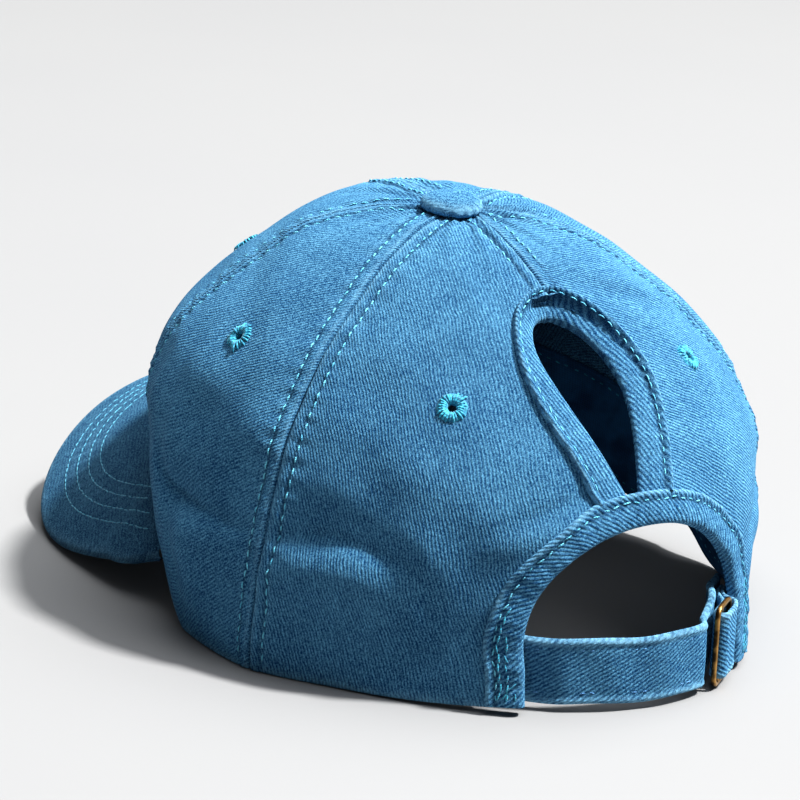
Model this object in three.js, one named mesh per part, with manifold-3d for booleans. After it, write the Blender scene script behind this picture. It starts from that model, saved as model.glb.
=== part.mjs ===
// A soft six-panel ball cap with a curved visor, a bound arch and strap at the back,
// and a bound drop-shaped opening for a ponytail above the arch.
// Millimetres, +Z up. The visor points to -Y and the wearer's left is +X.
// The origin is on the table, under the middle of the cap's outline.
import * as THREE from 'three';
import { mergeVertices } from 'three/addons/utils/BufferGeometryUtils.js';
import Module from 'manifold-3d';

const wasm = await Module();
wasm.setup();

const RAD = Math.PI / 180;

// Driving dimensions of the crown
const GAP = 0.3;
const CLOTH = 1.5;
const ORIGIN_Y = 21.4;
const CROWN_TOP = 108;
const FRONT_ROUNDNESS = 2.0;
const BACK_ROUNDNESS = 1.68;
const BACKWARD_LEAN = 0.075;
const TOP_SHIFT = -5;
const BACK_RIM_RISE = 3.2;
const BACK_RIM_BULGE = 1.5;
const BROW_RISE = 33;
const BROW_ANGLE = 85;
const SIDE_ARCH = { middle: 272, spread: 8.5, rise: 9, dip: 291, dipSpread: 6, dipDepth: 2.4 };
const GORE_PUFF = 1.6;
const PANEL_TIP = 0.98;

// Horizontal sections of the crown, from the rim to the top
const SECTIONS = [
  { height: 0, halfWidth: 81, front: 80, back: 96 },
  { height: 13, halfWidth: 83, front: 83.5, back: 94 },
  { height: 30, halfWidth: 84.5, front: 86.5, back: 92 },
  { height: 48, halfWidth: 84.5, front: 88, back: 89.5 },
  { height: 65, halfWidth: 78, front: 83, back: 83 },
  { height: 80, halfWidth: 65.5, front: 73.5, back: 71 },
  { height: 91.5, halfWidth: 53, front: 61, back: 55.5 },
  { height: 100.5, halfWidth: 40, front: 48, back: 38 },
  { height: 106, halfWidth: 24.5, front: 32, back: 20 },
  { height: CROWN_TOP, halfWidth: 0, front: 0, back: 0 },
];

// Seams as angles from the front towards the wearer's left, at the rim and at the top
const SEAMS = {
  front: { rim: 0, top: 0 },
  temple: { rim: 52, top: 59 },
  side: { rim: 108.5, top: 117 },
  back: { rim: 180, top: 180 },
};

// Creases and swells of the soft cloth, at the angle and height of their middle. Depth
// is inwards where it is negative, and slope and bend say how a crease climbs and curves.
const FOLDS = [
  { name: 'left crease', angle: 121, spread: 25, height: 38, width: 5, depth: -2.6, slope: -0.12, bend: -8e-3 },
  { name: 'left swell', angle: 122, spread: 27, height: 27, width: 7, depth: 2.0, slope: -0.1, bend: -8e-3 },
  { name: 'arch pucker', angle: 161, spread: 9, height: 52, width: 7, depth: -1.1, slope: 0.45, bend: 0 },
  { name: 'right crease', angle: 238, spread: 24, height: 36, width: 6, depth: -2.0, slope: 0.1, bend: -6e-3 },
  { name: 'right swell', angle: 240, spread: 24, height: 25, width: 7, depth: 1.4, slope: 0.1, bend: -6e-3 },
  { name: 'left hollow', angle: 62, spread: 9, height: 52, width: 20, depth: -1.8, slope: 0, bend: 0 },
  { name: 'right hollow', angle: 300, spread: 9, height: 54, width: 18, depth: -1.6, slope: 0, bend: 0 },
  { name: 'front dent', angle: 24, spread: 12, height: 84, width: 9, depth: -1.5, slope: 0.2, bend: 0 },
  { name: 'top pucker', angle: 207, spread: 13, height: 95, width: 6, depth: -0.9, slope: -0.2, bend: 0 },
  { name: 'left shoulder', angle: 44, spread: 16, height: 73, width: 14, depth: -2.2, slope: 0, bend: 0 },
  { name: 'right shoulder', angle: 262, spread: 16, height: 102, width: 8, depth: -2.8, slope: 0, bend: 0 },
  { name: 'right bulge', angle: 255, spread: 9, height: 79, width: 9, depth: 1.4, slope: 0, bend: 0 },
  { name: 'right foot', angle: 228, spread: 12, height: 16, width: 18, depth: -1.6, slope: 0, bend: 0 },
  { name: 'left rim', angle: 109, spread: 12, height: 3, width: 12, depth: 1.8, slope: 0, bend: 0 },
];

// Driving dimensions of the openings, the trim and the visor
const BINDING_CLOTH = 0.8;
const BINDING_GAP = 0.42;
const ARCH = { middle: -2, halfWidth: 34, spring: 16, top: 46.8, bindingWidth: 7.8, footClearance: 0.6 };
const DROP = { middle: 1.5, halfWidth: 9, tip: 48, top: 91.6, taper: 0.9, bindingWidth: 9.2, end: 0.06 };
const STRAP = { height: 17.5, thickness: 1.6, bottom: 2.0, tailRise: 8, tailDrop: 2.6 };
const STRAP_LINE = [
  { x: 36.8, y: 73.4 },
  { x: 33.4, y: 75.7 },
  { x: 30.2, y: 78 },
  { x: 26.5, y: 81.2 },
  { x: 20.5, y: 85.9 },
  { x: 10, y: 90.4 },
  { x: -2, y: 92.8 },
  { x: -11, y: 92.6 },
  { x: -17, y: 91 },
  { x: -21.5, y: 88.6 },
  { x: -25, y: 85.8 },
  { x: -28.5, y: 83 },
  { x: -31.4, y: 79.2 },
  { x: -33.9, y: 75 },
  { x: -37.3, y: 72.3 },
  { x: -40.4, y: 69.6 },
];
const BUCKLE = {
  height: 22.4, wire: 1.7, bottom: 0.6, start: 0.693, end: 0.812, corner: 2.4,
  secondBar: 3.4, secondWire: 1.45, offset: 2.0,
};
const KEEPER = { height: 18, bottom: 3.0, start: 0.708, end: 0.95, cloth: 1.0, tongue: 0.87 };
const SWEATBAND = { height: 30, thickness: 1.2, gap: 1.5, footClearance: 2.4 };
const VISOR = {
  halfWidth: 84.4, length: 77.7, centreY: -58.8, squareness: 2.74, thickness: 3.2, end: 71, lastTurn: 107,
  crest: 43.7, droop: 43.3, bendWidth: 85, bendPower: 2.47, slope: 0.21, slopeStart: -80, slopeEnd: -48,
  rootGap: 0.7, leanRun: 16,
};
const BUTTON = { radius: 8.3, height: 4.6, shankRadius: 2.1, washerRadius: 5.5, washerHeight: 0.9 };
const EYELET = { radius: 4.1, hole: 1.4, barrel: 2.3, flange: 0.6, panelHole: 2.75, sides: 12 };
const EYELETS = [
  { name: 'eyelet_front_left', angle: 28, rise: 0.55 },
  { name: 'eyelet_side_left', angle: 88, rise: 0.532 },
  { name: 'eyelet_back_left', angle: 146, rise: 0.516 },
  { name: 'eyelet_back_right', angle: 215, rise: 0.545 },
  { name: 'eyelet_side_right', angle: 272, rise: 0.532 },
  { name: 'eyelet_front_right', angle: 332, rise: 0.55 },
];

const TWILL = { color: 0x2f7fb5, roughness: 0.92, metalness: 0 };
const DARK_TWILL = { color: 0x27669a, roughness: 0.95, metalness: 0 };
const THREAD = { color: 0x2fb2cf, roughness: 0.6, metalness: 0 };
const BRASS = { color: 0x8a6f45, roughness: 0.42, metalness: 1 };

// Small number helpers
function clamp(value, low = 0, high = 1) {
  return Math.min(high, Math.max(low, value));
}

function smooth(value) {
  const t = clamp(value);
  return t * t * (3 - 2 * t);
}

function bell(distance) {
  return Math.exp(-distance * distance);
}

function mix(a, b, t) {
  return a + (b - a) * t;
}

// The crown's surface: sections joined by a smooth curve, spaced by the length of the
// side outline, so that rise runs evenly from 0 at the rim to 1 at the top
const COLUMNS = ['height', 'halfWidth', 'front', 'back'];
const RISES = SECTIONS.map(() => 0);
for (let i = 1; i < SECTIONS.length; i += 1) {
  const step = Math.hypot(
    SECTIONS[i].height - SECTIONS[i - 1].height,
    SECTIONS[i].halfWidth - SECTIONS[i - 1].halfWidth,
  );
  RISES[i] = RISES[i - 1] + step;
}
const RISE_TOTAL = RISES[RISES.length - 1];
RISES.forEach((value, i) => { RISES[i] = value / RISE_TOTAL; });

function tangent(column, i) {
  const last = SECTIONS.length - 1;
  if (i === 0 || i === last) {
    const a = i === 0 ? 0 : last - 1;
    return (SECTIONS[a + 1][column] - SECTIONS[a][column]) / (RISES[a + 1] - RISES[a]);
  }
  const before = RISES[i] - RISES[i - 1];
  const after = RISES[i + 1] - RISES[i];
  const slopeBefore = (SECTIONS[i][column] - SECTIONS[i - 1][column]) / before;
  const slopeAfter = (SECTIONS[i + 1][column] - SECTIONS[i][column]) / after;
  return (slopeBefore * after + slopeAfter * before) / (before + after);
}

const TANGENTS = Object.fromEntries(
  COLUMNS.map((column) => [column, SECTIONS.map((_, i) => tangent(column, i))]),
);

function sectionAt(rise) {
  const s = clamp(rise);
  let i = 0;
  while (i < SECTIONS.length - 2 && s > RISES[i + 1]) i += 1;
  const span = RISES[i + 1] - RISES[i];
  const t = (s - RISES[i]) / span;
  const row = {};
  for (const column of COLUMNS) {
    const start = (2 * t ** 3 - 3 * t ** 2 + 1) * SECTIONS[i][column];
    const startSlope = (t ** 3 - 2 * t ** 2 + t) * span * TANGENTS[column][i];
    const end = (3 * t ** 2 - 2 * t ** 3) * SECTIONS[i + 1][column];
    const endSlope = (t ** 3 - t ** 2) * span * TANGENTS[column][i + 1];
    row[column] = start + startSlope + end + endSlope;
  }
  return row;
}

function seamAngle(seam, rise) {
  return mix(seam.rim, seam.top, clamp(rise));
}

// How far through its panel an angle lies, 0 at one seam and 1 at the next
function panelShare(angle, rise) {
  const a = angle > 180 ? 360 - angle : angle;
  const edges = [SEAMS.front, SEAMS.temple, SEAMS.side, SEAMS.back].map((seam) => seamAngle(seam, rise));
  for (let i = 0; i < 3; i += 1) {
    if (a <= edges[i + 1]) return (a - edges[i]) / (edges[i + 1] - edges[i]);
  }
  return 1;
}

function foldDepth(angle, height) {
  let depth = 0;
  for (const fold of FOLDS) {
    const turn = angle - fold.angle;
    const line = fold.height + fold.slope * turn + fold.bend * turn * turn;
    depth += fold.depth * bell(turn / fold.spread) * bell((height - line) / fold.width);
  }
  return depth;
}

// The rim arches up at the wearer's right, in front of the back opening
function sideArch(angle) {
  const arch = SIDE_ARCH.rise * bell((angle - SIDE_ARCH.middle) / SIDE_ARCH.spread);
  return arch - SIDE_ARCH.dipDepth * bell((angle - SIDE_ARCH.dip) / SIDE_ARCH.dipSpread);
}

function crownSurface(angleIn, rise) {
  const angle = ((angleIn % 360) + 360) % 360;
  const { height, halfWidth, front, back } = sectionAt(rise);
  const side = Math.sin(angle * RAD);
  const rear = -Math.cos(angle * RAD);
  const reach = rear < 0 ? front : back;
  const power = mix(FRONT_ROUNDNESS, BACK_ROUNDNESS, smooth(rear / 0.6));
  const tiny = 1e-3;
  const sum = Math.abs(side / Math.max(halfWidth, tiny)) ** power
    + Math.abs(rear / Math.max(reach, tiny)) ** power;
  const fromBack = Math.abs(angle - 180);
  const fromFront = 180 - fromBack;
  let radius = sum ** (-1 / power);
  radius += BACK_RIM_BULGE * bell(fromBack / 26) * clamp(1 - height / 50);
  const puffFade = smooth((rise - 0.15) / 0.4) * smooth((1 - rise) / 0.25);
  radius += GORE_PUFF * puffFade * (Math.sin(Math.PI * panelShare(angle, rise)) ** 0.7 - 0.75);
  radius += foldDepth(angle, height) * smooth((1 - rise) / 0.1);
  const y = radius * rear + TOP_SHIFT * (height / CROWN_TOP) ** 2;
  const brow = clamp(1 - (fromFront / BROW_ANGLE) ** 3.2) ** 1.15;
  const z = height
    - BACKWARD_LEAN * y * smooth(height / 45)
    + BROW_RISE * brow * clamp(1 - height / 90) ** 1.2
    + sideArch(angle) * clamp(1 - height / 45) ** 1.2
    + BACK_RIM_RISE * bell(fromBack / 32) * clamp(1 - height / 60);
  return new THREE.Vector3(radius * side, y, z);
}

function crownNormal(angle, rise) {
  const turn = 0.5;
  const climb = 0.004;
  const around = crownSurface(angle + turn, rise).sub(crownSurface(angle - turn, rise));
  const up = crownSurface(angle, Math.min(rise + climb, 1)).sub(crownSurface(angle, Math.max(rise - climb, 0)));
  return around.cross(up).normalize();
}

// A point at a given distance outside the crown's outer surface, or inside where negative
function crownPoint(angle, rise, offset = 0) {
  return crownSurface(angle, rise).addScaledVector(crownNormal(angle, rise), offset);
}

// The angle and rise at which the back of the crown has a given x and z
function crownAddress(x, z) {
  let angle = 180 - Math.asin(clamp(x / 95, -0.9, 0.9)) / RAD;
  let rise = clamp(z / 160);
  for (let i = 0; i < 14; i += 1) {
    const here = crownSurface(angle, rise);
    const turned = crownSurface(angle + 0.2, rise);
    const raised = crownSurface(angle, rise + 0.002);
    const a = (turned.x - here.x) / 0.2;
    const b = (raised.x - here.x) / 0.002;
    const c = (turned.z - here.z) / 0.2;
    const d = (raised.z - here.z) / 0.002;
    const dx = x - here.x;
    const dz = z - here.z;
    const det = a * d - b * c;
    angle += clamp((dx * d - b * dz) / det, -8, 8);
    rise = clamp(rise + clamp((a * dz - c * dx) / det, -0.1, 0.1), 0, 0.99);
  }
  return { angle, rise };
}

function crownBackPoint(x, z, offset) {
  const { angle, rise } = crownAddress(x, z);
  const surface = crownSurface(angle, rise);
  const below = z - surface.z;
  const point = crownPoint(angle, rise, offset);
  point.z += below;
  return point;
}

// Mesh helpers
function finish(positions, indices) {
  const geometry = new THREE.BufferGeometry();
  geometry.setAttribute('position', new THREE.Float32BufferAttribute(positions, 3));
  geometry.setIndex(indices);
  return outward(mergeVertices(geometry, 1e-4));
}

// Turns every face over where the body would be inside out
function outward(geometry) {
  const p = geometry.attributes.position;
  const index = geometry.index.array;
  const [a, b, c] = [new THREE.Vector3(), new THREE.Vector3(), new THREE.Vector3()];
  let volume = 0;
  for (let i = 0; i < index.length; i += 3) {
    a.fromBufferAttribute(p, index[i]);
    b.fromBufferAttribute(p, index[i + 1]);
    c.fromBufferAttribute(p, index[i + 2]);
    volume += a.dot(b.cross(c));
  }
  if (volume < 0) {
    for (let i = 0; i < index.length; i += 3) {
      [index[i + 1], index[i + 2]] = [index[i + 2], index[i + 1]];
    }
  }
  return geometry;
}

// A closed tube through rings of points, with its ends filled unless it runs round
function loft(rings, isLoop = false) {
  const count = rings[0].length;
  const positions = rings.flat().flatMap((point) => point.toArray());
  const indices = [];
  const spans = isLoop ? rings.length : rings.length - 1;
  for (let i = 0; i < spans; i += 1) {
    const next = (i + 1) % rings.length;
    for (let j = 0; j < count; j += 1) {
      const k = (j + 1) % count;
      indices.push(i * count + j, i * count + k, next * count + k);
      indices.push(i * count + j, next * count + k, next * count + j);
    }
  }
  if (!isLoop) {
    indices.push(...endCap(rings[0], 0, true));
    indices.push(...endCap(rings[rings.length - 1], (rings.length - 1) * count, false));
  }
  return finish(positions, indices);
}

// Fills one ring, seen along the axis across which it is flattest
function endCap(ring, offset, isFirst) {
  const normal = new THREE.Vector3();
  ring.forEach((point, i) => normal.add(point.clone().cross(ring[(i + 1) % ring.length])));
  normal.normalize();
  const across = Math.abs(normal.z) < 0.9 ? new THREE.Vector3(0, 0, 1) : new THREE.Vector3(1, 0, 0);
  across.cross(normal).normalize();
  const up = normal.clone().cross(across);
  const outline = ring.map((point) => new THREE.Vector2(point.dot(across), point.dot(up)));
  const faces = THREE.ShapeUtils.triangulateShape(outline, []);
  return faces.flatMap(([a, b, c]) => {
    const order = isFirst ? [c, b, a] : [a, b, c];
    return order.map((i) => i + offset);
  });
}

// A curved wall between two sheets, each sheet given as a function of u and v from 0 to 1
function wall(outer, inner, across, along) {
  const rings = [];
  for (let i = 0; i <= across; i += 1) {
    const u = i / across;
    const ring = [];
    for (let j = 0; j <= along; j += 1) ring.push(outer(u, j / along));
    for (let j = along; j >= 0; j -= 1) ring.push(inner(u, j / along));
    rings.push(ring);
  }
  return strips(rings, along + 1);
}

// Joins the rings of a wall, and fills its two ends with strips from sheet to sheet
function strips(rings, half) {
  const count = half * 2;
  const positions = rings.flat().flatMap((point) => point.toArray());
  const indices = [];
  for (let i = 0; i < rings.length - 1; i += 1) {
    for (let j = 0; j < count; j += 1) {
      const k = (j + 1) % count;
      indices.push(i * count + j, i * count + k, (i + 1) * count + k);
      indices.push(i * count + j, (i + 1) * count + k, (i + 1) * count + j);
    }
  }
  const last = (rings.length - 1) * count;
  for (let j = 0; j < half - 1; j += 1) {
    const opposite = count - 1 - j;
    indices.push(opposite, j + 1, j, opposite, opposite - 1, j + 1);
    indices.push(last + j, last + j + 1, last + opposite);
    indices.push(last + j + 1, last + opposite - 1, last + opposite);
  }
  return finish(positions, indices);
}

function toManifold(geometry) {
  const plain = geometry.clone();
  plain.deleteAttribute('normal');
  plain.deleteAttribute('uv');
  const merged = mergeVertices(plain, 1e-4);
  return new wasm.Manifold(new wasm.Mesh({
    numProp: 3,
    vertProperties: new Float32Array(merged.attributes.position.array),
    triVerts: new Uint32Array(merged.index.array),
  }));
}

function fromManifold(solid) {
  const mesh = solid.getMesh();
  const geometry = new THREE.BufferGeometry();
  geometry.setAttribute('position', new THREE.Float32BufferAttribute(mesh.vertProperties, 3));
  geometry.setIndex(Array.from(mesh.triVerts));
  return geometry;
}

// Outlines of the two openings in the X-Z plane. Grow moves an outline outwards.
function archPoint(t, grow) {
  const wide = ARCH.halfWidth + grow;
  const tall = ARCH.top - ARCH.spring + grow;
  const legs = 0.16;
  if (t < legs) {
    return { x: ARCH.middle + wide, z: mix(archFoot(1), ARCH.spring, t / legs), nx: 1, nz: 0 };
  }
  if (t > 1 - legs) {
    return { x: ARCH.middle - wide, z: mix(ARCH.spring, archFoot(-1), (t - 1 + legs) / legs), nx: -1, nz: 0 };
  }
  const turn = ((t - legs) / (1 - 2 * legs)) * Math.PI;
  const normal = new THREE.Vector2(Math.cos(turn) / wide, Math.sin(turn) / tall).normalize();
  return {
    x: ARCH.middle + wide * Math.cos(turn),
    z: ARCH.spring + tall * Math.sin(turn),
    nx: normal.x,
    nz: normal.y,
  };
}

function archFoot(side) {
  const edge = crownAddress(ARCH.middle + side * (ARCH.halfWidth + ARCH.bindingWidth / 2), 2);
  return crownSurface(edge.angle, 0).z + ARCH.footClearance;
}

// The drop: a round top, and sides that close to a slit behind the arch
function dropPoint(t) {
  const turn = mix(-0.5, 0.5, t) * 2 * Math.PI;
  const height = (1 + Math.cos(turn)) / 2;
  const widest = 0.675;
  return {
    x: DROP.middle - (DROP.halfWidth * Math.sin(turn) * height ** DROP.taper) / widest,
    z: mix(DROP.tip, DROP.top, height),
  };
}

function dropDirection(t) {
  const step = 0.004;
  const a = dropPoint(t - step);
  const b = dropPoint(t + step);
  const along = new THREE.Vector2(b.x - a.x, b.z - a.z).normalize();
  return { nx: along.y, nz: -along.x };
}

// A point beside the drop, its distance taken over the crown instead of on the flat
function dropPlace(t, out) {
  const { x, z } = dropPoint(t);
  const { nx, nz } = dropDirection(t);
  const reach = 5;
  const start = crownBackPoint(x, z, 0);
  const end = crownBackPoint(x + nx * reach, z + nz * reach, 0);
  const flat = (out * reach) / start.distanceTo(end);
  return { x: x + nx * flat, z: z + nz * flat };
}

function cutter(points) {
  const shape = new THREE.Shape(points.map((point) => new THREE.Vector2(point.x, point.z)));
  const deep = new THREE.ExtrudeGeometry(shape, { depth: 120, bevelEnabled: false });
  deep.rotateX(Math.PI / 2);
  deep.translate(0, 130, 0);
  return toManifold(outward(mergeVertices(deep)));
}

const PANEL_EDGE = BINDING_CLOTH + BINDING_GAP + GAP;

function archCutter() {
  const steps = 28;
  const points = [];
  for (let i = 0; i <= steps; i += 1) points.push(archPoint(i / steps, PANEL_EDGE));
  points.push({ x: ARCH.middle - ARCH.halfWidth - PANEL_EDGE, z: -20 });
  points.unshift({ x: ARCH.middle + ARCH.halfWidth + PANEL_EDGE, z: -20 });
  return cutter(points);
}

function dropCutter() {
  const steps = 30;
  const points = [];
  for (let i = 0; i <= steps; i += 1) {
    points.push(dropPlace(mix(DROP.end, 1 - DROP.end, i / steps), PANEL_EDGE));
  }
  points.push({ x: points[points.length - 1].x, z: ARCH.top });
  points.unshift({ x: points[0].x, z: ARCH.top });
  return cutter(points);
}

// Crown panels
function panelWall(from, to, isMirrored) {
  const across = 16;
  const along = 13;
  const halfGap = GAP / 2;
  const sheet = (offset) => (u, v) => {
    const rise = v * PANEL_TIP;
    const radius = Math.hypot(crownSurface(90, rise).x, 1);
    const trim = (halfGap / radius) / RAD;
    const angle = mix(seamAngle(from, rise) + trim, seamAngle(to, rise) - trim, u);
    return crownPoint(isMirrored ? 360 - angle : angle, rise, offset);
  };
  return wall(sheet(0), sheet(-CLOTH), across, along);
}

function eyeletHole(row) {
  const centre = crownPoint(row.angle, row.rise, -CLOTH / 2);
  const drill = new THREE.CylinderGeometry(EYELET.panelHole, EYELET.panelHole, 12, EYELET.sides);
  const up = new THREE.Vector3(0, 1, 0);
  drill.applyQuaternion(new THREE.Quaternion().setFromUnitVectors(up, crownNormal(row.angle, row.rise)));
  drill.translate(centre.x, centre.y, centre.z);
  return toManifold(drill);
}

function panel(place, side) {
  const edges = {
    front: [SEAMS.front, SEAMS.temple],
    side: [SEAMS.temple, SEAMS.side],
    back: [SEAMS.side, SEAMS.back],
  }[place];
  let solid = toManifold(panelWall(edges[0], edges[1], side === 'right'));
  const row = EYELETS.find((item) => item.name === `eyelet_${place}_${side}`);
  solid = solid.subtract(eyeletHole(row));
  if (place === 'back') {
    solid = solid.subtract(archCutter()).subtract(dropCutter());
  }
  return fromManifold(solid);
}

// A folded binding: a channel whose two legs lie on the outside and the inside of a panel
function bindingSection(width) {
  const over = BINDING_CLOTH + BINDING_GAP;
  const inside = -CLOTH - BINDING_GAP;
  const web = BINDING_CLOTH + BINDING_GAP;
  const under = inside - BINDING_CLOTH;
  return [
    { out: 0, offset: over * 0.4 },
    { out: 0.7, offset: over },
    { out: width, offset: over },
    { out: width, offset: BINDING_GAP },
    { out: web, offset: BINDING_GAP },
    { out: web, offset: inside },
    { out: width, offset: inside },
    { out: width, offset: under },
    { out: 0.7, offset: under },
    { out: 0, offset: inside },
  ];
}

function archBinding() {
  const steps = 30;
  const rings = [];
  for (let i = 0; i <= steps; i += 1) {
    const base = archPoint(i / steps, 0);
    rings.push(bindingSection(ARCH.bindingWidth).map(({ out, offset }) => {
      const point = archPoint(i / steps, out);
      return crownBackPoint(point.x, i === 0 || i === steps ? base.z : point.z, offset);
    }));
  }
  return loft(rings);
}

function ponytailBinding() {
  const steps = 34;
  const rings = [];
  for (let i = 0; i <= steps; i += 1) {
    const t = mix(DROP.end, 1 - DROP.end, i / steps);
    rings.push(bindingSection(DROP.bindingWidth).map(({ out, offset }) => {
      const { x, z } = dropPlace(t, out);
      return crownBackPoint(x, z, offset);
    }));
  }
  const archSteps = 30;
  const points = [];
  for (let i = 0; i <= archSteps; i += 1) {
    points.push(archPoint(i / archSteps, ARCH.bindingWidth + 2 * GAP));
  }
  return fromManifold(toManifold(loft(rings)).subtract(cutter(points)));
}

// The visor: a bent board covered in cloth, its root against the crown's lower edge
function visorTop(x, y) {
  const run = clamp(y, -200, VISOR.slopeEnd) - VISOR.slopeStart;
  return VISOR.crest - VISOR.droop * Math.abs(x / VISOR.bendWidth) ** VISOR.bendPower + VISOR.slope * run;
}

function visorEdge(u) {
  const turn = u * VISOR.lastTurn * RAD;
  const s = Math.sin(turn);
  const c = Math.cos(turn);
  const power = 2 / VISOR.squareness;
  return {
    x: VISOR.halfWidth * Math.sign(s) * Math.abs(s) ** power,
    y: VISOR.centreY - VISOR.length * Math.sign(c) * Math.abs(c) ** power,
  };
}

// The rise at which the crown's surface is a given distance above its rim
function riseAboveRim(angle, distance) {
  const rimZ = crownSurface(angle, 0).z;
  const step = 0.01;
  const perRise = (crownSurface(angle, step).z - rimZ) / step;
  return distance / perRise;
}

function visorSheet(u, v) {
  const angle = u * VISOR.end;
  const root = crownPoint(angle, riseAboveRim(angle, VISOR.thickness), VISOR.rootGap);
  const rootLift = root.z - visorTop(root.x, root.y);
  const edge = visorEdge(u);
  const x = mix(root.x, edge.x, v);
  const y = mix(root.y, edge.y, v);
  return new THREE.Vector3(x, y, visorTop(x, y) + rootLift * (1 - v) ** 2);
}

// The underside drops straight down beside the crown, and square to the top further out
function visorUnder(u, v) {
  const root = crownPoint(u * VISOR.end, 0, VISOR.rootGap);
  if (v === 0) return root;
  const step = 0.01;
  const across = visorSheet(u + step, v).sub(visorSheet(u - step, v));
  const along = visorSheet(u, Math.min(v + step, 1)).sub(visorSheet(u, v - step));
  const normal = along.cross(across).normalize();
  if (normal.z < 0) normal.negate();
  const top = visorSheet(u, v);
  const lean = smooth(Math.hypot(top.x - root.x, top.y - root.y) / VISOR.leanRun);
  normal.lerp(new THREE.Vector3(0, 0, 1), 1 - lean).normalize();
  return top.addScaledVector(normal, -VISOR.thickness);
}

function visor() {
  return wall(
    (u, v) => visorSheet(u * 2 - 1, v),
    (u, v) => visorUnder(u * 2 - 1, v),
    34,
    6,
  );
}

// The sweatband, inside the rim from one foot of the arch round the front to the other
function footAngle(side) {
  const x = ARCH.middle + side * (ARCH.halfWidth + ARCH.bindingWidth + SWEATBAND.footClearance);
  return crownAddress(x, 3).angle;
}

function sweatband() {
  const top = SWEATBAND.height / RISE_TOTAL;
  const outside = -CLOTH - SWEATBAND.gap;
  const sheet = (offset) => (u, v) => (
    crownPoint(mix(footAngle(-1) - 360, footAngle(1), u), 0.006 + v * top, offset)
  );
  return wall(sheet(outside), sheet(outside - SWEATBAND.thickness), 44, 2);
}

// The strap's line in plan, which bows out behind the arch and turns in under its right foot
const strapCurve = new THREE.CatmullRomCurve3(
  STRAP_LINE.map(({ x, y }) => new THREE.Vector3(x, y, 0)),
  false,
  'catmullrom',
  0.5,
);

function strapPoint(t, offset, z) {
  const along = strapCurve.getTangentAt(t);
  return strapCurve.getPointAt(t).add(new THREE.Vector3(along.y, -along.x, 0).multiplyScalar(offset)).setZ(z);
}

function strap() {
  const steps = 26;
  const rings = [];
  for (let i = 0; i <= steps; i += 1) {
    const t = i / steps;
    const tail = smooth((t - BUCKLE.start + 0.08) / 0.09);
    const middle = -STRAP.tailDrop * tail;
    const low = STRAP.bottom + STRAP.tailRise * smooth((t - BUCKLE.start - 0.02) / 0.2);
    const half = STRAP.thickness / 2;
    rings.push([
      strapPoint(t, middle - half, low),
      strapPoint(t, middle - half, low + STRAP.height),
      strapPoint(t, middle + half, low + STRAP.height),
      strapPoint(t, middle + half, low),
    ]);
  }
  return loft(rings);
}

// The keeper: a cloth loop round two bars of the buckle, drawn together into a tongue
// that lies inside the right foot of the arch
function keeper() {
  const steps = 14;
  const barSpace = BUCKLE.wire / 2 + GAP;
  const outside = [];
  const inside = [];
  const holeOutside = [];
  const holeInside = [];
  for (let i = 0; i <= steps; i += 1) {
    const share = i / steps;
    const t = mix(KEEPER.start, KEEPER.end, share);
    const drawn = smooth((t - KEEPER.tongue + 0.045) / 0.045);
    const round = Math.sqrt(clamp(share / 0.08, 0.25, 1));
    const half = mix(barSpace + KEEPER.cloth, KEEPER.cloth * 0.9, drawn) * round;
    const middle = mix(BUCKLE.offset, 0.2, drawn);
    outside.push(strapPoint(t, middle + half, 0));
    inside.unshift(strapPoint(t, middle - half, 0));
    const s = mix(KEEPER.start + 0.008, BUCKLE.end + 0.012, share);
    const end = Math.sqrt(clamp(Math.min(share, 1 - share) / 0.08, 0.25, 1));
    holeOutside.push(strapPoint(s, BUCKLE.offset + barSpace * end, 0));
    holeInside.unshift(strapPoint(s, BUCKLE.offset - barSpace * end, 0));
  }
  const flat = (point) => new THREE.Vector2(point.x, point.y);
  const shape = new THREE.Shape([...outside, ...inside].map(flat));
  shape.holes.push(new THREE.Path([...holeOutside, ...holeInside].map(flat)));
  const geometry = new THREE.ExtrudeGeometry(shape, { depth: KEEPER.height, bevelEnabled: false });
  geometry.translate(0, 0, KEEPER.bottom);
  return outward(weld(geometry));
}

function weld(geometry) {
  geometry.deleteAttribute('normal');
  geometry.deleteAttribute('uv');
  return mergeVertices(geometry, 1e-4);
}

// The buckle: a bent wire frame, with a second bar beside the one that lies on the strap
function wireRing(centre, along, radius, sides) {
  const across = new THREE.Vector3().crossVectors(along, BUCKLE_OUT).normalize();
  const ring = [];
  for (let i = 0; i < sides; i += 1) {
    const turn = (i / sides) * 2 * Math.PI;
    ring.push(centre.clone()
      .addScaledVector(BUCKLE_OUT, radius * Math.cos(turn))
      .addScaledVector(across, radius * Math.sin(turn)));
  }
  return ring;
}

const BUCKLE_A = strapPoint(BUCKLE.start, BUCKLE.offset, 0);
const BUCKLE_B = strapPoint(BUCKLE.end, BUCKLE.offset, 0);
const BUCKLE_RUN = BUCKLE_B.clone().sub(BUCKLE_A);
const BUCKLE_LENGTH = BUCKLE_RUN.length();
BUCKLE_RUN.normalize();
const BUCKLE_OUT = new THREE.Vector3(BUCKLE_RUN.y, -BUCKLE_RUN.x, 0);

function bucklePoint(run, z) {
  return BUCKLE_A.clone().addScaledVector(BUCKLE_RUN, run).setZ(z);
}

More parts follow.
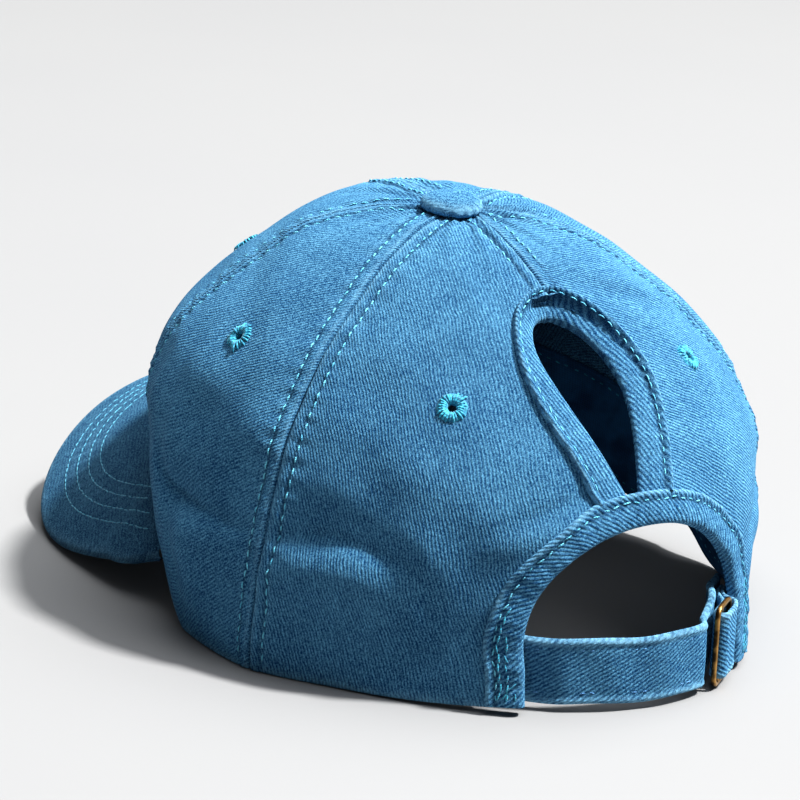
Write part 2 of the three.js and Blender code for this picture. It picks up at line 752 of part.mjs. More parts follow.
function buckle() {
  const radius = BUCKLE.wire / 2;
  const low = BUCKLE.bottom + radius;
  const high = BUCKLE.bottom + BUCKLE.height - radius;
  const up = new THREE.Vector3(0, 0, 1);
  const nearRun = BUCKLE.corner;
  const farRun = BUCKLE_LENGTH - BUCKLE.corner;
  const lowMiddle = low + BUCKLE.corner;
  const highMiddle = high - BUCKLE.corner;
  const corners = [
    { run: nearRun, z: lowMiddle, turn: 270 },
    { run: nearRun, z: highMiddle, turn: 180 },
    { run: farRun, z: highMiddle, turn: 90 },
    { run: farRun, z: lowMiddle, turn: 0 },
  ];
  const rings = [];
  const cornerSteps = 3;
  for (const { run, z, turn } of corners) {
    for (let i = 0; i <= cornerSteps; i += 1) {
      const angle = (turn - (90 * i) / cornerSteps) * RAD;
      const c = Math.cos(angle);
      const s = Math.sin(angle);
      const centre = bucklePoint(run + BUCKLE.corner * c, z + BUCKLE.corner * s);
      const along = BUCKLE_RUN.clone().multiplyScalar(s).addScaledVector(up, -c);
      rings.push(wireRing(centre, along, radius, 8));
    }
  }
  const frame = toManifold(loft(rings, true));
  const secondBar = loft([
    wireRing(bucklePoint(BUCKLE.secondBar, low), up, BUCKLE.secondWire / 2, 8),
    wireRing(bucklePoint(BUCKLE.secondBar, high), up, BUCKLE.secondWire / 2, 8),
  ]);
  return fromManifold(frame.add(toManifold(secondBar)));
}

// The button: a covered dome, a shank through the hole at the top, and a washer inside
function button() {
  const under = 0.4;
  const washerTop = -CLOTH - 0.9;
  const washerBottom = washerTop - BUTTON.washerHeight;
  const profile = [
    [0, washerBottom],
    [BUTTON.washerRadius, washerBottom],
    [BUTTON.washerRadius, washerTop],
    [BUTTON.shankRadius, washerTop],
    [BUTTON.shankRadius, under],
    [BUTTON.radius * 0.93, under],
  ];
  const domeSteps = 6;
  for (let i = 0; i <= domeSteps; i += 1) {
    const turn = (i / domeSteps) * 90 * RAD;
    const shrink = Math.cos(turn) ** 0.55;
    profile.push([BUTTON.radius * shrink, under + 1.4 + (BUTTON.height - 1.4) * Math.sin(turn)]);
  }
  profile[profile.length - 1][0] = 0;
  const geometry = new THREE.LatheGeometry(profile.map(([x, y]) => new THREE.Vector2(x, y)), 16);
  return outward(weld(geometry));
}

function standOn(mesh, angle, rise) {
  const normal = crownNormal(angle, rise);
  mesh.quaternion.setFromUnitVectors(new THREE.Vector3(0, 1, 0), normal);
  const place = crownSurface(angle, rise);
  mesh.position.copy(place).setY(place.y + ORIGIN_Y);
}

// An embroidered eyelet: two rings of thread joined through the hole in the panel
function eyelet() {
  const outside = 0.35;
  const inside = -CLOTH - 0.5;
  const profile = [
    [EYELET.hole, inside - EYELET.flange],
    [EYELET.radius, inside - EYELET.flange],
    [EYELET.radius, inside],
    [EYELET.barrel, inside],
    [EYELET.barrel, outside],
    [EYELET.radius, outside],
    [EYELET.radius - 0.7, outside + EYELET.flange],
    [EYELET.hole, outside + EYELET.flange * 0.8],
    [EYELET.hole, inside - EYELET.flange],
  ];
  const points = profile.map(([x, y]) => new THREE.Vector2(x, y));
  return outward(weld(new THREE.LatheGeometry(points, EYELET.sides)));
}

const part = new THREE.Group();

function add(name, geometry, look) {
  geometry.computeVertexNormals();
  const mesh = new THREE.Mesh(geometry, new THREE.MeshStandardMaterial(look));
  mesh.name = name;
  mesh.position.y = ORIGIN_Y;
  part.add(mesh);
  return mesh;
}

for (const side of ['left', 'right']) {
  for (const place of ['front', 'side', 'back']) {
    add(`panel_${place}_${side}`, panel(place, side), TWILL);
  }
}
add('visor', visor(), TWILL);
add('sweatband', sweatband(), DARK_TWILL);
add('arch_binding', archBinding(), TWILL);
add('ponytail_binding', ponytailBinding(), TWILL);
add('strap', strap(), TWILL);
add('strap_keeper', keeper(), TWILL);
add('buckle', buckle(), BRASS);
standOn(add('button', button(), TWILL), 0, 0.999);
for (const { name, angle, rise } of EYELETS) {
  standOn(add(name, eyelet(), THREAD), angle, rise);
}

export default part;
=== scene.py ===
import math

import bpy
import numpy as np
from mathutils import Matrix, Vector


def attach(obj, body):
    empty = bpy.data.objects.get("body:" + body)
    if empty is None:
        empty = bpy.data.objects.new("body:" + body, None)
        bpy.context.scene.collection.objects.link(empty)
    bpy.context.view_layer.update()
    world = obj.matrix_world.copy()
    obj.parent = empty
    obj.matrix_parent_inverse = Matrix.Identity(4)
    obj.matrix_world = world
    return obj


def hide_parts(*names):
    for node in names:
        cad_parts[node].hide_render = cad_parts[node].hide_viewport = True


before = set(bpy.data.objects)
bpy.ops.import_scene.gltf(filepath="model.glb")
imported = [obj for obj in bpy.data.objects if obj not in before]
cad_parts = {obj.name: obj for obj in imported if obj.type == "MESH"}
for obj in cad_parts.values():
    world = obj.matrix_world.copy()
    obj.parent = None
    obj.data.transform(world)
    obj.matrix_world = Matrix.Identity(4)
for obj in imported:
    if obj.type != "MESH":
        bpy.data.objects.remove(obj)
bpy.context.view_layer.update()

# Crown panels: six gores of washed cotton twill, cut to a point and sewn side by side.
# Each seam is pressed open and held down by a row of stitches on either side of it.
# Sizes are in millimetres until a mesh is made, and angles run from the front to the left.
MM = 0.001
RAD = math.pi / 180
ORIGIN_Y = 21.4
CROWN_TOP = 108.0
CLOTH = 1.5
FRONT_ROUNDNESS, BACK_ROUNDNESS = 2.0, 1.68
BACKWARD_LEAN, TOP_SHIFT = 0.075, -5.0
# The rim rises over the brow, at the back and at the wearer's right. Each fade is the height
# on the crown where that has died away.
BROW = {"rise": 33.0, "half_angle": 85.0, "power": 3.2, "flatness": 1.15, "fade": 90}
BACK_RIM = {"rise": 3.2, "rise_spread": 32, "rise_fade": 60, "bulge": 1.5, "bulge_spread": 26, "bulge_fade": 50}
SIDE_ARCH = {"middle": 272, "spread": 8.5, "rise": 9, "dip": 291, "dip_spread": 6, "dip_depth": 2.4, "fade": 45}
FADE_POWER = 1.2
GORE_PUFF, GORE_FLATNESS, GORE_VALLEY = 1.6, 0.7, 0.75
SECTIONS = np.array([
    # height, half width, front, back
    (0, 81, 80, 96),
    (13, 83, 83.5, 94),
    (30, 84.5, 86.5, 92),
    (48, 84.5, 88, 89.5),
    (65, 78, 83, 83),
    (80, 65.5, 73.5, 71),
    (91.5, 53, 61, 55.5),
    (100.5, 40, 48, 38),
    (106, 24.5, 32, 20),
    (CROWN_TOP, 0, 0, 0),
], float)
SEAMS = {  # angle at the rim and at the top
    "front": (0, 0),
    "temple_left": (52, 59),
    "side_left": (108.5, 117),
    "back": (180, 180),
    "side_right": (251.5, 243),
    "temple_right": (308, 301),
}
FOLDS = [
    # angle, spread, height, width, depth, slope, bend
    (129, 11, 13, 7, -1.3, 0, 0),           # hollow above the rim
    (164, 8, 57, 2.4, -1.3, 0.52, 0),       # pucker beside the arch
    (164, 9, 52.5, 3.2, 0.7, 0.52, 0),
    (106, 21, 52, 17, -3.4, 0, 0),          # broad hollow on the left, with a swell above it
    (106, 20, 86, 12, 1.7, 0, 0),
    (152, 15, 56, 15, 1.3, 0, 0),           # fullness between the hollow and the openings
    (62, 9, 52, 20, -1.8, 0, 0),            # hollow at the left temple
    (300, 9, 54, 18, -1.6, 0, 0),           # hollow at the right temple
    (24, 12, 84, 9, -1.5, 0.2, 0),          # dent in the front
    (212, 18, 94, 2.8, -2.0, -0.28, -4e-3), # pucker from the top of the ponytail opening
    (212, 18, 98.5, 3.2, 1.3, -0.28, -4e-3),
    (150, 9, 99.5, 4, 1.0, -0.58, 0),       # ridge down from the button
    (158, 8, 99, 5, -0.9, -0.58, 0),
    (107, 9, 72, 8, -1.6, 0.1, 0),          # hollows along the left seam
    (103, 7, 88, 6, -1.0, 0.2, 0),
    (77, 3.2, 45, 26, -1.0, 0, 0),          # upright wrinkles at the left
    (85, 3.0, 28, 20, -0.9, 0, 0),
    (68, 3.5, 50, 20, 0.7, 0, 0),
    (44, 16, 73, 14, -2.2, 0, 0),           # hollow at the left shoulder
    (262, 16, 102, 8, -2.8, 0, 0),          # hollow at the right shoulder
    (255, 9, 79, 9, 1.4, 0, 0),             # bulge on the right
    (228, 12, 16, 18, -1.6, 0, 0),          # hollow beside the right foot
    (109, 12, 3, 12, 1.8, 0, 0),            # bulge at the left rim
]
LIPS = [
    # angle, half span, height, how far the ends drop, dip, swell, slope
    (91, 17, 37.5, 1.5, 4.0, 2.4, 1.0),     # on the side panel, up to the left seam
    (126, 16, 42.5, 6.0, 3.8, 2.1, 0.6),    # on the back panel, from the left seam
    (238, 24, 36, 3.0, 1.8, 1.2, 1.0),      # beside the right foot of the arch
]
LIP_ABOVE, LIP_BELOW = 7.0, 2.0
SWELL_DROP, SWELL_SPREAD = 9, 8.5
RISE_LENGTHS = np.r_[0, np.cumsum(np.hypot(np.diff(SECTIONS[:, 0]), np.diff(SECTIONS[:, 1])))]
RISE_TOTAL = RISE_LENGTHS[-1]
RISES = RISE_LENGTHS / RISE_TOTAL
SLOPES = np.gradient(SECTIONS, RISES, axis=0)


def bell(x):
    return np.exp(-x * x)


def smooth(x):
    x = np.clip(x, 0, 1)
    return x * x * (3 - 2 * x)


def section_at(rise):
    """Height, half width, front and back of the crown at a rise from 0 at the rim to 1 at the top."""
    s = np.clip(rise, 0, 1)
    i = np.clip(np.searchsorted(RISES, s, side="right") - 1, 0, len(RISES) - 2)
    span = (RISES[i + 1] - RISES[i])[..., None]
    t = (s - RISES[i])[..., None] / span
    start = (2 * t**3 - 3 * t**2 + 1) * SECTIONS[i] + (t**3 - 2 * t**2 + t) * span * SLOPES[i]
    end = (3 * t**2 - 2 * t**3) * SECTIONS[i + 1] + (t**3 - t**2) * span * SLOPES[i + 1]
    return np.moveaxis(start + end, -1, 0)


def seam_angle(seam, rise):
    rim, top = SEAMS[seam]
    return rim + (top - rim) * np.clip(rise, 0, 1)


def panel_share(angle, rise):
    """How far across its panel a place lies, from 0 at one seam to 1 at the next."""
    a = np.where(angle > 180, 360 - angle, angle)
    edges = [seam_angle(seam, rise) for seam in ("front", "temple_left", "side_left", "back")]
    shares = [(a - edges[i]) / (edges[i + 1] - edges[i]) for i in range(3)]
    return np.clip(np.select([a <= edges[1], a <= edges[2]], shares[:2], shares[2]), 0, 1)


# Slow waves of cloth that has been washed and dried, as a sum of plane waves
wave_random = np.random.default_rng(11)
WAVE_COUNT = 30
wave_ways = wave_random.normal(size=(WAVE_COUNT, 3))
wave_ways /= np.linalg.norm(wave_ways, axis=1, keepdims=True)
WAVES = wave_ways * (2 * math.pi / wave_random.uniform(16, 48, WAVE_COUNT))[:, None]
WAVE_STARTS = wave_random.uniform(0, 2 * math.pi, WAVE_COUNT)
WAVE_DEPTH = 0.42


def cloth_waves(points):
    return WAVE_DEPTH * np.sin(points @ WAVES.T + WAVE_STARTS).sum(-1) / math.sqrt(WAVE_COUNT / 2)


def side_arch(angle):
    """The rim's arch at the wearer's right, with a dip in front of it."""
    arch = SIDE_ARCH["rise"] * bell((angle - SIDE_ARCH["middle"]) / SIDE_ARCH["spread"])
    return arch - SIDE_ARCH["dip_depth"] * bell((angle - SIDE_ARCH["dip"]) / SIDE_ARCH["dip_spread"])


def lips(angle, height):
    """Creases with a sharp bottom: cloth sinks slowly from above and swells out below."""
    depth = 0
    for middle, span, line, arch, dip, swell, slope in LIPS:
        turn = (angle - middle) / span
        above = height - (line - arch * turn * turn + slope * turn)
        strength = np.clip(1 - turn * turn, 0, 1) ** 0.6
        width = np.where(above > 0, LIP_ABOVE, LIP_BELOW)
        crease = -dip * np.exp(-np.sqrt(above * above + 0.5) / width)
        depth = depth + strength * (crease + swell * bell((above + SWELL_DROP) / SWELL_SPREAD))
    return depth


def crown(angle, rise):
    """Points of the crown's outer face, without the relief of its seams."""
    angle, rise = np.broadcast_arrays(np.asarray(angle, float) % 360, np.asarray(rise, float))
    height, half_width, front, back = section_at(rise)
    side, rear = np.sin(angle * RAD), -np.cos(angle * RAD)
    reach = np.where(rear < 0, front, back)
    power = FRONT_ROUNDNESS + (BACK_ROUNDNESS - FRONT_ROUNDNESS) * smooth(rear / 0.6)
    tiny = 1e-3
    total = (np.abs(side / np.maximum(half_width, tiny)) ** power
             + np.abs(rear / np.maximum(reach, tiny)) ** power)
    from_back = np.abs(angle - 180)
    from_front = 180 - from_back
    radius = total ** (-1 / power)
    bulge = BACK_RIM["bulge"] * bell(from_back / BACK_RIM["bulge_spread"])
    radius = radius + bulge * np.clip(1 - height / BACK_RIM["bulge_fade"], 0, 1)
    puff = smooth((rise - 0.15) / 0.4) * smooth((1 - rise) / 0.25)
    gore = np.sin(math.pi * panel_share(angle, rise)) ** GORE_FLATNESS - GORE_VALLEY
    radius = radius + GORE_PUFF * puff * gore
    depth = 0
    for at, spread, middle, width, fold, slope, bend in FOLDS:
        turn = angle - at
        line = middle + slope * turn + bend * turn * turn
        depth = depth + fold * bell(turn / spread) * bell((height - line) / width)
    radius = radius + (depth + lips(angle, height)) * smooth((1 - rise) / 0.1)
    brow = np.clip(1 - (from_front / BROW["half_angle"]) ** BROW["power"], 0, 1) ** BROW["flatness"]
    y = radius * rear + TOP_SHIFT * (height / CROWN_TOP) ** 2
    z = (height - BACKWARD_LEAN * y * smooth(height / 45)
         + BROW["rise"] * brow * np.clip(1 - height / BROW["fade"], 0, 1) ** FADE_POWER
         + side_arch(angle) * np.clip(1 - height / SIDE_ARCH["fade"], 0, 1) ** FADE_POWER
         + BACK_RIM["rise"] * bell(from_back / BACK_RIM["rise_spread"])
         * np.clip(1 - height / BACK_RIM["rise_fade"], 0, 1))
    points = np.stack([radius * side, y, z], -1)
    fade = smooth(height / 14) * smooth((1 - rise) / 0.08)
    ripple = cloth_waves(points) * fade
    points[..., 0] += ripple * side
    points[..., 1] += ripple * rear + ORIGIN_Y
    return points


def unit(vectors):
    return vectors / np.maximum(np.linalg.norm(vectors, axis=-1, keepdims=True), 1e-9)


def stacked(*layers):
    """Separate coordinates, broadcast to one shape, as points."""
    return np.stack(np.broadcast_arrays(*layers), -1)


def crown_normal(angle, rise):
    around = crown(np.asarray(angle) + 0.5, rise) - crown(np.asarray(angle) - 0.5, rise)
    up = crown(angle, np.minimum(rise + 0.004, 1)) - crown(angle, np.maximum(rise - 0.004, 0))
    return unit(np.cross(around, up))


def seam_offsets(angle, rise):
    """Distance in millimetres to each seam, positive past it."""
    height, half_width, front, back = section_at(rise)
    reach = np.where(np.cos(angle * RAD) > 0, front, back)
    radius = np.hypot(half_width * np.cos(angle * RAD), reach * np.sin(angle * RAD))
    turns = [(angle - seam_angle(seam, rise) + 180) % 360 - 180 for seam in SEAMS]
    return np.stack([turn * RAD * radius for turn in turns])


STITCH_OFFSET = 4.0
STITCH_PITCH = 3.0
SEAM_BAND_HALF, SEAM_BAND_SLOPE, SEAM_BAND_LIFT = 4.9, 1.1, 0.4
SEAM_LINE_DEPTH, STITCH_GROOVE_DEPTH = 0.75, 0.5
SEAM_PUCKER_PITCH, SEAM_PUCKER_LIFT = 6.3, 0.2


def seam_relief(angle, rise):
    """The pressed-open seams: a raised band, the line between the panels, and puckers."""
    offsets = seam_offsets(angle, rise)
    nearest = np.argmin(np.abs(offsets), axis=0)
    x = np.abs(np.take_along_axis(offsets, nearest[None], 0)[0])
    run = rise * RISE_TOTAL
    lift = SEAM_BAND_LIFT * smooth((SEAM_BAND_HALF - x) / SEAM_BAND_SLOPE)
    lift = lift - SEAM_LINE_DEPTH * bell(x / 0.42) - STITCH_GROOVE_DEPTH * bell((x - STITCH_OFFSET) / 0.5)
    puckers = np.sin(2 * math.pi * run / SEAM_PUCKER_PITCH + 1.9 * np.sin(run / 15 + nearest) + 2.1 * nearest)
    lift = lift + SEAM_PUCKER_LIFT * puckers * bell((x - 5.2) / 2.6)
    wobble = np.sin(2 * math.pi * run / STITCH_PITCH + nearest) + np.sin(run / 1.35 + 1.2 * np.sin(run / 9))
    lift = lift + 0.15 * wobble * bell((x - 2.2) / 1.4)
    turns = angle * RAD
    gathers = np.sin(19 * turns + 1.6 * np.sin(4 * turns)) + 0.6 * np.sin(31 * turns + 2)
    lift = lift + 0.34 * gathers * bell((rise - 0.9) / 0.09)
    return lift * smooth((1 - rise) / 0.05)


def cloth_point(angle, rise, lift=0.0):
    """A place on the sewn crown, with the relief of its seams."""
    angle, rise = np.broadcast_arrays(np.asarray(angle, float) % 360, np.asarray(rise, float))
    out = seam_relief(angle, rise) + lift
    return crown(angle, rise) + crown_normal(angle, rise) * out[..., None]


def net_faces(rows, columns, closes=False):
    """Quads of a net of points, row by row."""
    wide = columns if closes else columns - 1
    i, j = np.meshgrid(np.arange(rows - 1), np.arange(wide), indexing="ij")
    k = (j + 1) % columns
    quads = np.stack([i * columns + j, i * columns + k, (i + 1) * columns + k, (i + 1) * columns + j], -1)
    return quads.reshape(-1, 4)


def run_lengths(points, axis=0):
    """Distance along each line of points, from its first point."""
    steps = np.linalg.norm(np.diff(points, axis=axis), axis=-1)
    return np.insert(np.cumsum(steps, axis=axis), 0, 0, axis=axis)


def add_object(name, data):
    seat = bpy.data.objects.new(name, data)
    bpy.context.scene.collection.objects.link(seat)
    return seat


def make_piece(name, points, faces, cloth=None, wear_and_shade=None):
    """A smooth mesh from points in millimetres. Cloth holds its flat coordinates across and along
    the weave. The values for wear and shade are above 0 where edges are rubbed pale, and below 0 where they
    paint shade into the grooves of seams and stitches."""
    mesh = bpy.data.meshes.new(name)
    mesh.from_pydata((np.asarray(points).reshape(-1, 3) * MM).tolist(), [], [list(face) for face in faces])
    if cloth is not None:
        layer = mesh.attributes.new("cloth", "FLOAT_VECTOR", "POINT")
        layer.data.foreach_set("vector", np.asarray(cloth, np.float32).ravel())
    if wear_and_shade is not None:
        layer = mesh.attributes.new("wear_and_shade", "FLOAT", "POINT")
        layer.data.foreach_set("value", np.asarray(wear_and_shade, np.float32).ravel())
    mesh.validate()
    mesh.shade_smooth()
    return add_object(name, mesh)


def fit(piece, material, slot, *nodes):
    """Gives a piece its material and body, and hides the solids that it stands for. The slot is not used."""
    piece.data.materials.append(material)
    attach(piece, "root")
    if nodes:
        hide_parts(*nodes)


class Value:
    """A number inside a material, so that its sums read as plain sums."""

    def __init__(self, finish, socket):
        self.finish = finish
        self.socket = socket

    def join(self, operation, *others):
        return self.finish.maths(operation, self, *others)

    def __add__(self, other): return self.join("ADD", other)
    def __radd__(self, other): return self.join("ADD", other)
    def __sub__(self, other): return self.join("SUBTRACT", other)
    def __rsub__(self, other): return self.finish.maths("SUBTRACT", other, self)
    def __mul__(self, other): return self.join("MULTIPLY", other)
    def __rmul__(self, other): return self.join("MULTIPLY", other)
    def __truediv__(self, other): return self.join("DIVIDE", other)
    def __pow__(self, other): return self.join("POWER", other)

    def clipped(self):
        return self.finish.node("ShaderNodeClamp", {}, {"Value": self})

    def ramp(self, low, high):
        inputs = {"Value": self, "From Min": low, "From Max": high}
        return self.finish.node("ShaderNodeMapRange", {"interpolation_type": "SMOOTHSTEP"}, inputs)


class Finish:
    """A material that is being put together, node by node."""

    def __init__(self, name):
        self.material = bpy.data.materials.new(name)
        self.material.use_nodes = True
        self.tree = self.material.node_tree
        self.tree.nodes.clear()

    def node(self, kind, settings, inputs, output=0):
        """Any node: its settings are set first, then the values or links of its sockets."""
        node = self.tree.nodes.new(kind)
        for key, value in settings.items():
            setattr(node, key, value)
        for key, value in inputs.items():
            if isinstance(value, Value):
                self.tree.links.new(value.socket, node.inputs[key])
            else:
                node.inputs[key].default_value = value
        return Value(self, node.outputs[output]) if len(node.outputs) else None

    def maths(self, operation, *values):
        return self.node("ShaderNodeMath", {"operation": operation}, dict(enumerate(values)))

    def wave(self, turns):
        return self.maths("SINE", turns * (2 * math.pi)) * 0.5 + 0.5

    def attribute(self, name, output):
        return self.node("ShaderNodeAttribute", {"attribute_name": name}, {}, output)

    def cloth(self):
        """The flat coordinates of the cloth, as three values."""
        return self.parts(self.attribute("cloth", "Vector"))

    def parts(self, vector):
        return [self.node("ShaderNodeSeparateXYZ", {}, {0: vector}, i) for i in range(3)]

    def vector(self, x, y, z=0.0):
        return self.node("ShaderNodeCombineXYZ", {}, {0: x, 1: y, 2: z})

    def place(self):
        """Where a point lies on the object, in millimetres."""
        seat = self.node("ShaderNodeTexCoord", {}, {}, "Object")
        return self.node("ShaderNodeVectorMath", {"operation": "SCALE"}, {0: seat, "Scale": 1 / MM})

    def noise(self, vector, size, detail=2.0):
        inputs = {"Vector": vector, "Scale": 1 / size, "Detail": detail}
        return self.node("ShaderNodeTexNoise", {}, inputs)

    def blend(self, share, first, second, way="MIX"):
        settings = {"data_type": "RGBA", "blend_type": way, "clamp_factor": True}
        return self.node("ShaderNodeMix", settings, {0: share, 6: first, 7: second}, 2)

    def surface(self, colour, roughness, normal=None, **fixed):
        inputs = {"Base Color": colour, "Roughness": roughness}
        if normal is not None:
            inputs["Normal"] = normal
        inputs.update({key.replace("_", " "): value for key, value in fixed.items()})
        shader = self.node("ShaderNodeBsdfPrincipled", {}, inputs)
        self.node("ShaderNodeOutputMaterial", {}, {"Surface": shader})
        return self.material


def bump(finish, height, distance, strength=1.0):
    """Relief of the finish, its distance in millimetres."""
    inputs = {"Height": height, "Distance": distance * MM, "Strength": strength}
    return finish.node("ShaderNodeBump", {}, inputs)


def dyed(red, green, blue):
    """A colour read off a swatch, 0 to 255, as light."""
    return tuple(((c / 255 + 0.055) / 1.055) ** 2.4 if c > 10 else c / 255 / 12.92
                 for c in (red, green, blue)) + (1.0,)


WALE_PITCH = 0.92
FLOAT_LENGTH = 1.25
WALE_DRIFT = 1.5
PAINTED_SHADE_BLUE = dyed(6, 22, 38)
GROOVE_SHADE_BLUE = dyed(8, 40, 72)
DEEP_BLUE = dyed(16, 68, 112)
WASHED_BLUE = dyed(113, 176, 210)
PALE_BLUE = dyed(150, 202, 228)


def twill(name, tilt, pitch=WALE_PITCH, relief=0.24, crisp=1.0, painted_shade=0.0):
    """Washed twill: slanting wales made of short floats, mottled dye, pale worn edges, and painted shade
    in the grooves of seams and stitches. Tilt is the angle between the wales and the cloth's length, in
    degrees.
    Crisp is how clearly the wales stand out from the fuzz, and the last argument darkens the whole piece as
    painted shade."""
    finish = Finish(name)
    across, along, _ = finish.cloth()
    place = finish.place()
    drift = finish.noise(place, 7.0, 2.0) - 0.5
    c, s = math.cos(tilt * RAD), math.sin(tilt * RAD)
    turns = (across * c + along * s + drift * WALE_DRIFT) / pitch
    length = along * c - across * s
    row = finish.maths("FLOOR", turns)
    floats = finish.wave(length / FLOAT_LENGTH + row * 0.37)
    yarn = finish.noise(finish.vector(turns * 1.5, length / 1.3, row * 0.13), 1.0, 2.0)
    grain = finish.noise(place, 0.34, 2.0)
    clumps = finish.noise(place, 1.1, 2.0)
    wales = finish.wave(turns) * (0.55 + clumps.ramp(0.3, 0.7) * 0.45)
    height = wales * (0.7 * crisp) + floats * wales * 0.3 + yarn * 0.25 + grain * 0.4
    wear_and_shade = finish.attribute("wear_and_shade", "Fac")
    dye = finish.noise(place, 21.0, 3.0)
    cloud = finish.noise(place, 6.5, 3.0)
    flecks = grain.ramp(0.4, 0.62) * (0.78 - 0.3 * crisp)
    fade = (wales * (0.55 * crisp) + yarn.ramp(0.3, 0.72) * 0.2 + flecks
            + dye.ramp(0.34, 0.68) * 0.1 + cloud.ramp(0.35, 0.7) * 0.06 - 0.16 - 0.08 * crisp)
    base = finish.blend(fade.clipped(), DEEP_BLUE, WASHED_BLUE)
    scuff = (wear_and_shade * (yarn.ramp(0.25, 0.65) * 0.8 + cloud.ramp(0.3, 0.7) * 0.5)).clipped()
    colour = finish.blend(scuff, base, PALE_BLUE)
    # Painted shade: values below 0 darken the colour in the grooves of seams and stitches.
    colour = finish.blend((wear_and_shade * -1).clipped(), colour, GROOVE_SHADE_BLUE)
    # Painted shade: the whole piece is darkened towards a deep blue, for a part that lies in shade.
    if painted_shade:
        colour = finish.blend(painted_shade, colour, PAINTED_SHADE_BLUE)
    normal = bump(finish, height, relief, 1.0)
    return finish.surface(colour, 0.92, normal, Diffuse_Roughness=1.0, Specular_IOR_Level=0.1)


PANELS = [
    # name, from seam, to seam, tilt of the wales in degrees, how crisp they are
    ("front_left", "front", "temple_left", -38, 0.7),
    ("side_left", "temple_left", "side_left", -50, 0.6),
    ("back_left", "side_left", "back", 14, 0.85),
    ("back_right", "back", "side_right", 54, 1.1),
    ("side_right", "side_right", "temple_right", 60, 0.8),
    ("front_right", "temple_right", "front", 22, 0.8),
]
ARCH = {"middle": -2, "half_width": 34, "spring": 16, "top": 46.8, "width": 7.8, "foot": 0.6}
DROP = {"middle": 1.5, "half_width": 9, "tip": 48, "top": 91.6, "taper": 0.9, "end": 0.06}
DROP_WIDEST = 0.675
ARCH_EDGE, DROP_EDGE = 2.6, 7.3  # from each opening to the raw edge of the panels under its binding
RIM_RADIUS = CLOTH / 2
RIM_RISE = RIM_RADIUS / RISE_TOTAL
EYELETS = {
    "front_left": (28, 0.55),
    "side_left": (88, 0.532),
    "back_left": (146, 0.516),
    "back_right": (215, 0.545),
    "side_right": (272, 0.532),
    "front_right": (332, 0.55),
}
EYELET_HOLE = 2.2
PANEL_COLUMNS, OUTER_ROWS, RIM_ROWS, INNER_ROWS = 90, 150, 7, 46
PANEL_TOP = 0.992
TAPE_HALF, TAPE_THICKNESS = 7.5, 0.5


def crown_address(x, z):
    """Angle and rise where the back of the crown has that x and z."""
    angle = 180 - np.arcsin(np.clip(x / 95, -0.9, 0.9)) / RAD
    rise = np.clip(z / 160, 0, 1)
    for _ in range(12):
        here = crown(angle, rise)
        turned = (crown(angle + 0.2, rise) - here) / 0.2
        raised = (crown(angle, rise + 0.002) - here) / 0.002
        a, b, c, d = turned[..., 0], raised[..., 0], turned[..., 2], raised[..., 2]
        dx, dz = x - here[..., 0], z - here[..., 2]
        det = a * d - b * c
        angle = angle + np.clip((dx * d - b * dz) / det, -8, 8)
        rise = np.clip(rise + np.clip((a * dz - c * dx) / det, -0.1, 0.1), 0, 0.99)
    return angle, rise


def crown_back(x, z, offset):
    """The place on the back of the crown with that x and z, moved off it by an offset."""
    angle, rise = crown_address(x, z)
    on = crown(angle, rise)
    point = on + crown_normal(angle, rise) * offset[..., None]
    point[..., 2] += z - on[..., 2]
    return point


def arch_reach(x, z):
    """How far a point lies outside the arch's inner edge, in millimetres."""
    wide, tall = ARCH["half_width"], ARCH["top"] - ARCH["spring"]
    up = np.maximum(z - ARCH["spring"], 0)
    scale = np.hypot((x - ARCH["middle"]) / wide, up / tall)
    return (scale - 1) * np.hypot(x - ARCH["middle"], up) / np.maximum(scale, 1e-3)


def drop_half(turn, height):
    """Half the width of the ponytail opening, as seen straight on."""
    return DROP["half_width"] * np.sin(turn) * height ** DROP["taper"] / DROP_WIDEST


def drop_outline(t):
    """The opening's edge from the tip over the top and back, as x and z."""
    turn = (t - 0.5) * 2 * math.pi
    height = (1 + np.cos(turn)) / 2
    return stacked(DROP["middle"] - drop_half(turn, height), DROP["tip"] + (DROP["top"] - DROP["tip"]) * height)


drop_edge = drop_outline(np.linspace(DROP["end"], 1 - DROP["end"], 161))
drop_edge = crown_back(drop_edge[:, 0], drop_edge[:, 1], np.zeros(161))


def drop_reach(points):
    """How far points of the crown lie outside the ponytail opening, in millimetres."""
    gap = np.linalg.norm(points[:, None] - drop_edge[None], axis=-1).min(1)
    height = np.clip((points[:, 2] - DROP["tip"]) / (DROP["top"] - DROP["tip"]), 0, 1)
    half = drop_half(np.arccos(2 * height - 1), height)
    inside = (np.abs(points[:, 0] - DROP["middle"]) < half) & (points[:, 2] < DROP["top"]) & (points[:, 1] > 0)
    return np.where(inside, -gap, gap)


